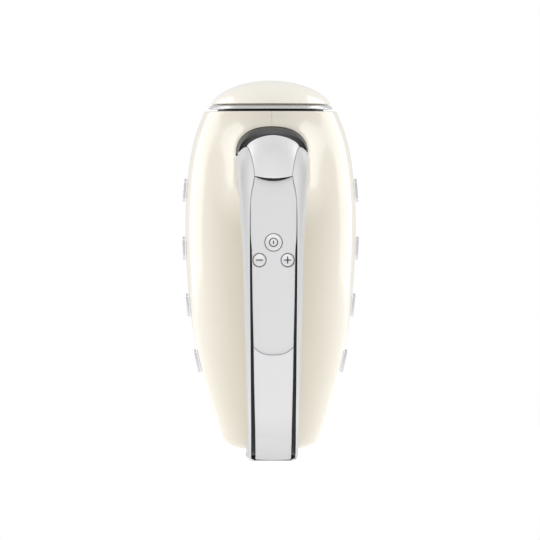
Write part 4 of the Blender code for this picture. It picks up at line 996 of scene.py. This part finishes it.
def make_beater(word, side):
    """A turned shaft and hub, with wire wings spaced round the axis by a node tree."""
    x0 = side * SPINDLE_X
    shaft = [(0, -4.5), (2.3, -4.5), (3.1, -3.5), (3.1, 50.0), (3.3, 50.3), (4.6, 50.6), (4.6, 53.0),
             (3.3, 53.4), (3.1, 53.8), (3.1, 80.5), (3.3, 81.5), (4.4, 83.0), (4.4, 92.0), (3.8, 93.4),
             (2.4, 94.0),
             (0, 94.0)]
    body = turned(f"beater_{word}_shaft", rounded(shaft, 0.5, 3), (x0, 0, SPINDLE_Z), "Y", STEEL, 48)
    place(body, f"{word}_beater", "steel", f"beater_{word}")
    hub, tip, half = 88.0, 172.0, 20.6
    knots = [(0.0, 2.2, hub), (1.0, 6.5, hub + 3.0), (2.0, 15.0, hub + 9.0), (3.0, 19.6, hub + 17.0),
             (4.0, half, hub + 28.0), (5.0, half - 1.2, hub + 48.0), (6.0, 17.2, tip - 16.0),
             (7.0, 12.8, tip - 6.0),
             (8.0, 6.5, tip - 2.1), (9.0, 0.6, tip - 1.9)]
    points = [tuple(spline(knots, 9 * i / 72)) for i in range(73)]
    path = path_object(f"beater_{word}_wings", [(r, y, 0.0) for r, y in points])
    tree = Tree("wings", Wings=4, Radius=1.25 * MM, Phase=-math.radians(22.5))
    curve = tree.add("GeometryNodeMeshToCurve", None, {"Mesh": tree.geometry})
    profile = tree.add("GeometryNodeCurvePrimitiveCircle", None,
                       {"Resolution": 14, "Radius": tree.size("Radius")})
    wing = tree.add("GeometryNodeCurveToMesh", None,
                    {"Curve": curve, "Profile Curve": profile, "Fill Caps": True})
    spots = tree.add("GeometryNodeMeshLine", None,
                     {"Count": tree.size("Wings"), "Start Location": (x0 * MM, 0, SPINDLE_Z * MM),
                                                    "Offset": (0, 0, 0)})
    index = tree.add("GeometryNodeInputIndex")
    share = tree.add("ShaderNodeMath", {"operation": "DIVIDE"}, {0: index, 1: tree.size("Wings")})
    turn = tree.add("ShaderNodeMath", {"operation": "MULTIPLY_ADD"},
                    {0: share, 1: -2 * math.pi, 2: tree.size("Phase")})
    angles = tree.add("ShaderNodeCombineXYZ", None, {"Y": turn})
    many = tree.add("GeometryNodeInstanceOnPoints", None,
                    {"Points": spots, "Instance": wing, "Rotation": angles})
    wings = tree.made(path, many, STEEL)
    place(wings, f"{word}_beater", "steel")


def make_foot():
    """The rubber foot: a slim pad with cross ribs, so that it grips the worktop."""
    rings = []
    for y, grow in ((-70.0, -2.0), (-69.6, -1.0), (-69.0, -0.3), (-68.4, 0.0), (17.6, 0.0), (18.5, -0.8),
                    (19.2, -1.8), (19.5, -2.5)):
        half = 11.0 + grow
        rings.append([(half - 0.3, y, 0.5), (half, y, 0.8), (half, y, 1.4), (-half, y, 1.4), (-half, y, 0.8),
                      (-half + 0.3, y, 0.5)])
    pad = loft("foot_pad", rings, RUBBER)
    place(pad, BODY, "rubber", "heel_foot")
    rib_path = path_object("foot_ribs", [(-9.6, 0, 0), (9.6, 0, 0)])
    tree = Tree("ribs", Count=42, Width=1.1 * MM, Pitch=2.05 * MM)
    bar = tree.add("GeometryNodeMeshCube", None, {"Size": (19.6 * MM, 1.0 * MM, 0.65 * MM)})
    offset = tree.add("ShaderNodeCombineXYZ", None, {"Y": tree.size("Pitch")})
    line = tree.add("GeometryNodeMeshLine", None, {"Count": tree.size("Count"),
                                                   "Start Location": (0, -67.5 * MM, 0.325 * MM),
                                                   "Offset": offset})
    many = tree.add("GeometryNodeInstanceOnPoints", None, {"Points": line, "Instance": bar})
    place(bevelled(tree.made(rib_path, many, RUBBER), 0.12, 2), BODY, "rubber")


# ---------------------------------------------------------------- underside, sides and screws

def make_underside():
    span = [COWL_Y[0], 33.0, 39.0, 43.2]
    rings = cowl_rings(0.0, span, 24)
    for drop in (0.15, 0.4, 0.8, 1.3, 1.8):
        rings.append(cowl_rings(-quarter(1.8 - drop, 1.8), (43.2 + drop,), 24)[0])
    cowl = loft("gear_cowl_shell", rings, CREAM)
    carve(cowl, loft("cowl_hollow", cowl_rings(-2.2, (20.0, 50.0), 24)))
    place(cowl, BODY, "cream_body", "gear_cowl")
    rings = []
    for y, hx, hz in ((42.5, 25.3, 14.3), (46.0, 25.0, 14.0), (46.5, 24.8, 13.8), (46.85, 24.4, 13.4),
                      (47.0, 24.0, 13.0)):
        rings.append([(x, y, z) for x, z in rounded_rectangle(hx, hz, hz - 1.0, 20, (0.0, SPINDLE_Z))])
    plate = loft("socket_face", rings, BLACK)
    for side in (-1, 1):
        hole = [(0, 30), (6.6, 30), (6.6, 46.3), (7.3, 47.2), (7.3, 60), (0, 60)]
        carve(plate, turned("socket_hole", hole, (side * SPINDLE_X, 0, SPINDLE_Z), "Y"))
    place(plate, BODY, "black_plastic", "socket_plate")
    for side, word in ((-1, "left"), (1, "right")):
        profile = [(3.6, -6.0), (5.5, -6.0), (5.5, 43.8), (6.0, 44.4), (6.0, 46.2), (5.5, 46.8), (4.1, 46.8),
                   (3.6, 46.0)]
        socket = turned(f"spindle_{word}_tube", profile, (side * SPINDLE_X, 0, SPINDLE_Z), "Y", STEEL, 48)
        place(socket, f"{word}_spindle", "steel", f"spindle_{word}")
    gland = [(2.9, 20.6), (7.2, 20.6), (7.2, 22.6), (5.0, 23.0), (5.0, 30.6), (6.4, 31.6), (6.0, 35.5),
             (4.6, 36.5), (2.9, 36.5)]
    gland = turned("cord_gland_sleeve", rounded(gland, 0.5, 3), (0, 0, 27.0), "Y", RUBBER, 64)
    for i in range(3):
        y = 32.3 + 1.3 * i
        ring = [(5.5, y), (9.0, y), (9.0, y + 0.5), (5.5, y + 0.5)]
        groove = turned("groove", ring, (0, 0, 27.0), "Y", None, 48)
        carve(gland, groove)
    place(gland, BODY, "rubber", "cord_gland")


def make_dashes():
    for side, word in ((-1, "left"), (1, "right")):
        for row, z in enumerate([142.0, 111.5, 81.5, 52.0]):
            below, above = (spline(BODY_STATIONS, z + d)[0] for d in (-5.0, 5.0))
            slope = math.atan2(above - below, 10.0)
            reach = spline(BODY_STATIONS, z)[0] + 0.35
            rings = []
            for out, shrink in ((0.0, 0.0), (1.0, 0.0), (1.2, 0.05), (1.38, 0.2), (1.47, 0.4), (1.5, 0.65)):
                outline = rounded_rectangle(2.3 - shrink, 6.2 - shrink, 2.25 - shrink, 12)
                rings.append([(side * (reach + out * math.cos(slope) + w * math.sin(slope)), v,
                               z + w * math.cos(slope) - out * math.sin(slope)) for v, w in outline])
            dash = loft(f"chrome_dash_{word}_{row + 1}", rings, CHROME, False, 50.0)
            place(dash, BODY, "chrome", f"side_dash_{word}_{row + 1}")


def make_screws():
    """Countersunk screws with cross recesses."""
    spots = [("heel_screw", side * 7.0, 0.0, 2.2, "Z", 1, 8.5) for side in (-1, 1)]
    spots += [("mount_screw", side * 12.0, -24.8, 139.4, "Y", -1, 14.0) for side in (-1, 1)]
    for name, x, y, z, axis, way, length in spots:
        word = "left" if x < 0 else "right"
        profile = [(0, 0.0), (3.0, 0.0), (3.0, 0.3), (1.5, 1.8), (1.5, length - 1.0), (0, length)]
        made = turned(f"{name}_{word}_steel", [(r, way * d) for r, d in profile], (x, y, z), axis,
                      SHAFT_STEEL, 32)
        for a, b in ((1.7, 0.35), (0.35, 1.7)):
            if axis == "Z":
                cross = box("cross", (x - a, y - b, z - 1), (x + a, y + b, z + 0.9))
            else:
                cross = box("cross", (x - a, y - 0.9, z - b), (x + a, y + 1, z + b))
            carve(made, cross)
        place(made, BODY, "steel", f"{name}_{word}")


# ---------------------------------------------------------------- carried-over nodes

CARRIED = {
    IRON: ["stator_core", "armature_core"],
    COPPER: ["field_coil_upper", "field_coil_lower", "commutator"],
    SHAFT_STEEL: ["armature_shaft", "handle_mount_plate", "eject_spring"],
    BRASS: ["brush_holder_left", "brush_holder_right", "rear_bush", "middle_bush", "front_bush",
            "spindle_bush_left", "spindle_bush_right"],
    CARBON: ["brush_left", "brush_right"],
    NYLON: ["worm_wheel_left", "worm_wheel_right", "ejector"],
    BLACK: ["cooling_fan", "brush_bracket", "gear_carrier"],
    BOARD: ["control_board", "display_board", "power_board"],
}


def dress_carried_nodes():
    for material, names in CARRIED.items():
        for name in names:
            mesh = frame["nodes"][name].data
            mesh.materials.clear()
            mesh.materials.append(material)


# ---------------------------------------------------------------- studio

def area_light(name, size, power_w, location, target, colour=(1.0, 1.0, 1.0)):
    data = bpy.data.lights.new(name, "AREA")
    data.shape, data.size, data.size_y = "RECTANGLE", size[0], size[1]
    data.energy, data.color = power_w, colour
    obj = bpy.data.objects.new(name, data)
    obj.location = location
    obj.rotation_euler = (Vector(target) - Vector(location)).to_track_quat("-Z", "Y").to_euler()
    bpy.context.scene.collection.objects.link(obj)
    return obj


FLOOR_GLOW = 0.7
CAMERA_LENS, SENSOR, FRAME_HEIGHT = 1200.0, 36.0, 0.2857


def light_room():
    """An even pale surround that lights the object from all sides and shows as plain white behind it."""
    scene = bpy.context.scene
    scene.view_settings.view_transform = "Standard"
    world = bpy.data.worlds.new("studio")
    scene.world = world
    world.use_nodes = True
    nodes, links = world.node_tree.nodes, world.node_tree.links
    path, strength = nodes.new("ShaderNodeLightPath"), nodes.new("ShaderNodeMapRange")
    strength.inputs["To Min"].default_value = 0.76
    strength.inputs["To Max"].default_value = 1.0
    links.new(path.outputs["Is Camera Ray"], strength.inputs["Value"])
    links.new(strength.outputs[0], nodes["Background"].inputs["Strength"])
    nodes["Background"].inputs["Color"].default_value = (1.0, 1.0, 1.0, 1.0)


def make_floor():
    paper = Finish("studio_paper", roughness=0.8, emission_strength=FLOOR_GLOW)
    paper.set("Base Color", paper.blend(paper.noise(3, 2), (0.4, 0.4, 0.4), (0.43, 0.43, 0.43)))
    paper.set("Emission Color", (1.0, 1.0, 1.0))
    floor = turned("floor", [(0, -5.0), (1800, -5.0), (1800, -0.3), (0, -0.3)], (0, 0, 0), "Z",
                   paper.material, 64)


def make_camera():
    data = bpy.data.cameras.new("camera")
    data.lens, data.sensor_width, data.clip_end = CAMERA_LENS, SENSOR, 40.0
    camera = bpy.data.objects.new("camera", data)
    turn, distance = math.radians(-0.95), FRAME_HEIGHT * CAMERA_LENS / SENSOR
    aim = Vector((-0.0003, 0.0, 0.1))
    camera.location = aim + Vector((math.sin(turn), -math.cos(turn), 0.0)) * distance
    camera.rotation_euler = (aim - camera.location).to_track_quat("-Z", "Y").to_euler()
    bpy.context.scene.collection.objects.link(camera)
    bpy.context.scene.camera = camera


def make_studio():
    light_room()
    make_floor()
    make_camera()
    area_light("key", (2.4, 1.6), 6, (-0.5, -2.2, 1.6), (0, 0, 0.1))
    area_light("left_box", (0.76, 1.7), 6.5, (-0.88, 0.47, 0.3), (0, 0, 0.12))
    area_light("right_box", (0.76, 1.7), 6.5, (0.88, 0.47, 0.3), (0, 0, 0.12))


make_housings()
make_nose()
make_frame()
make_core()
make_panels()
make_lens()
make_eject_button()
make_buttons()
make_beater("left", -1)
make_beater("right", 1)
make_foot()
make_underside()
make_dashes()
make_screws()
dress_carried_nodes()
make_studio()
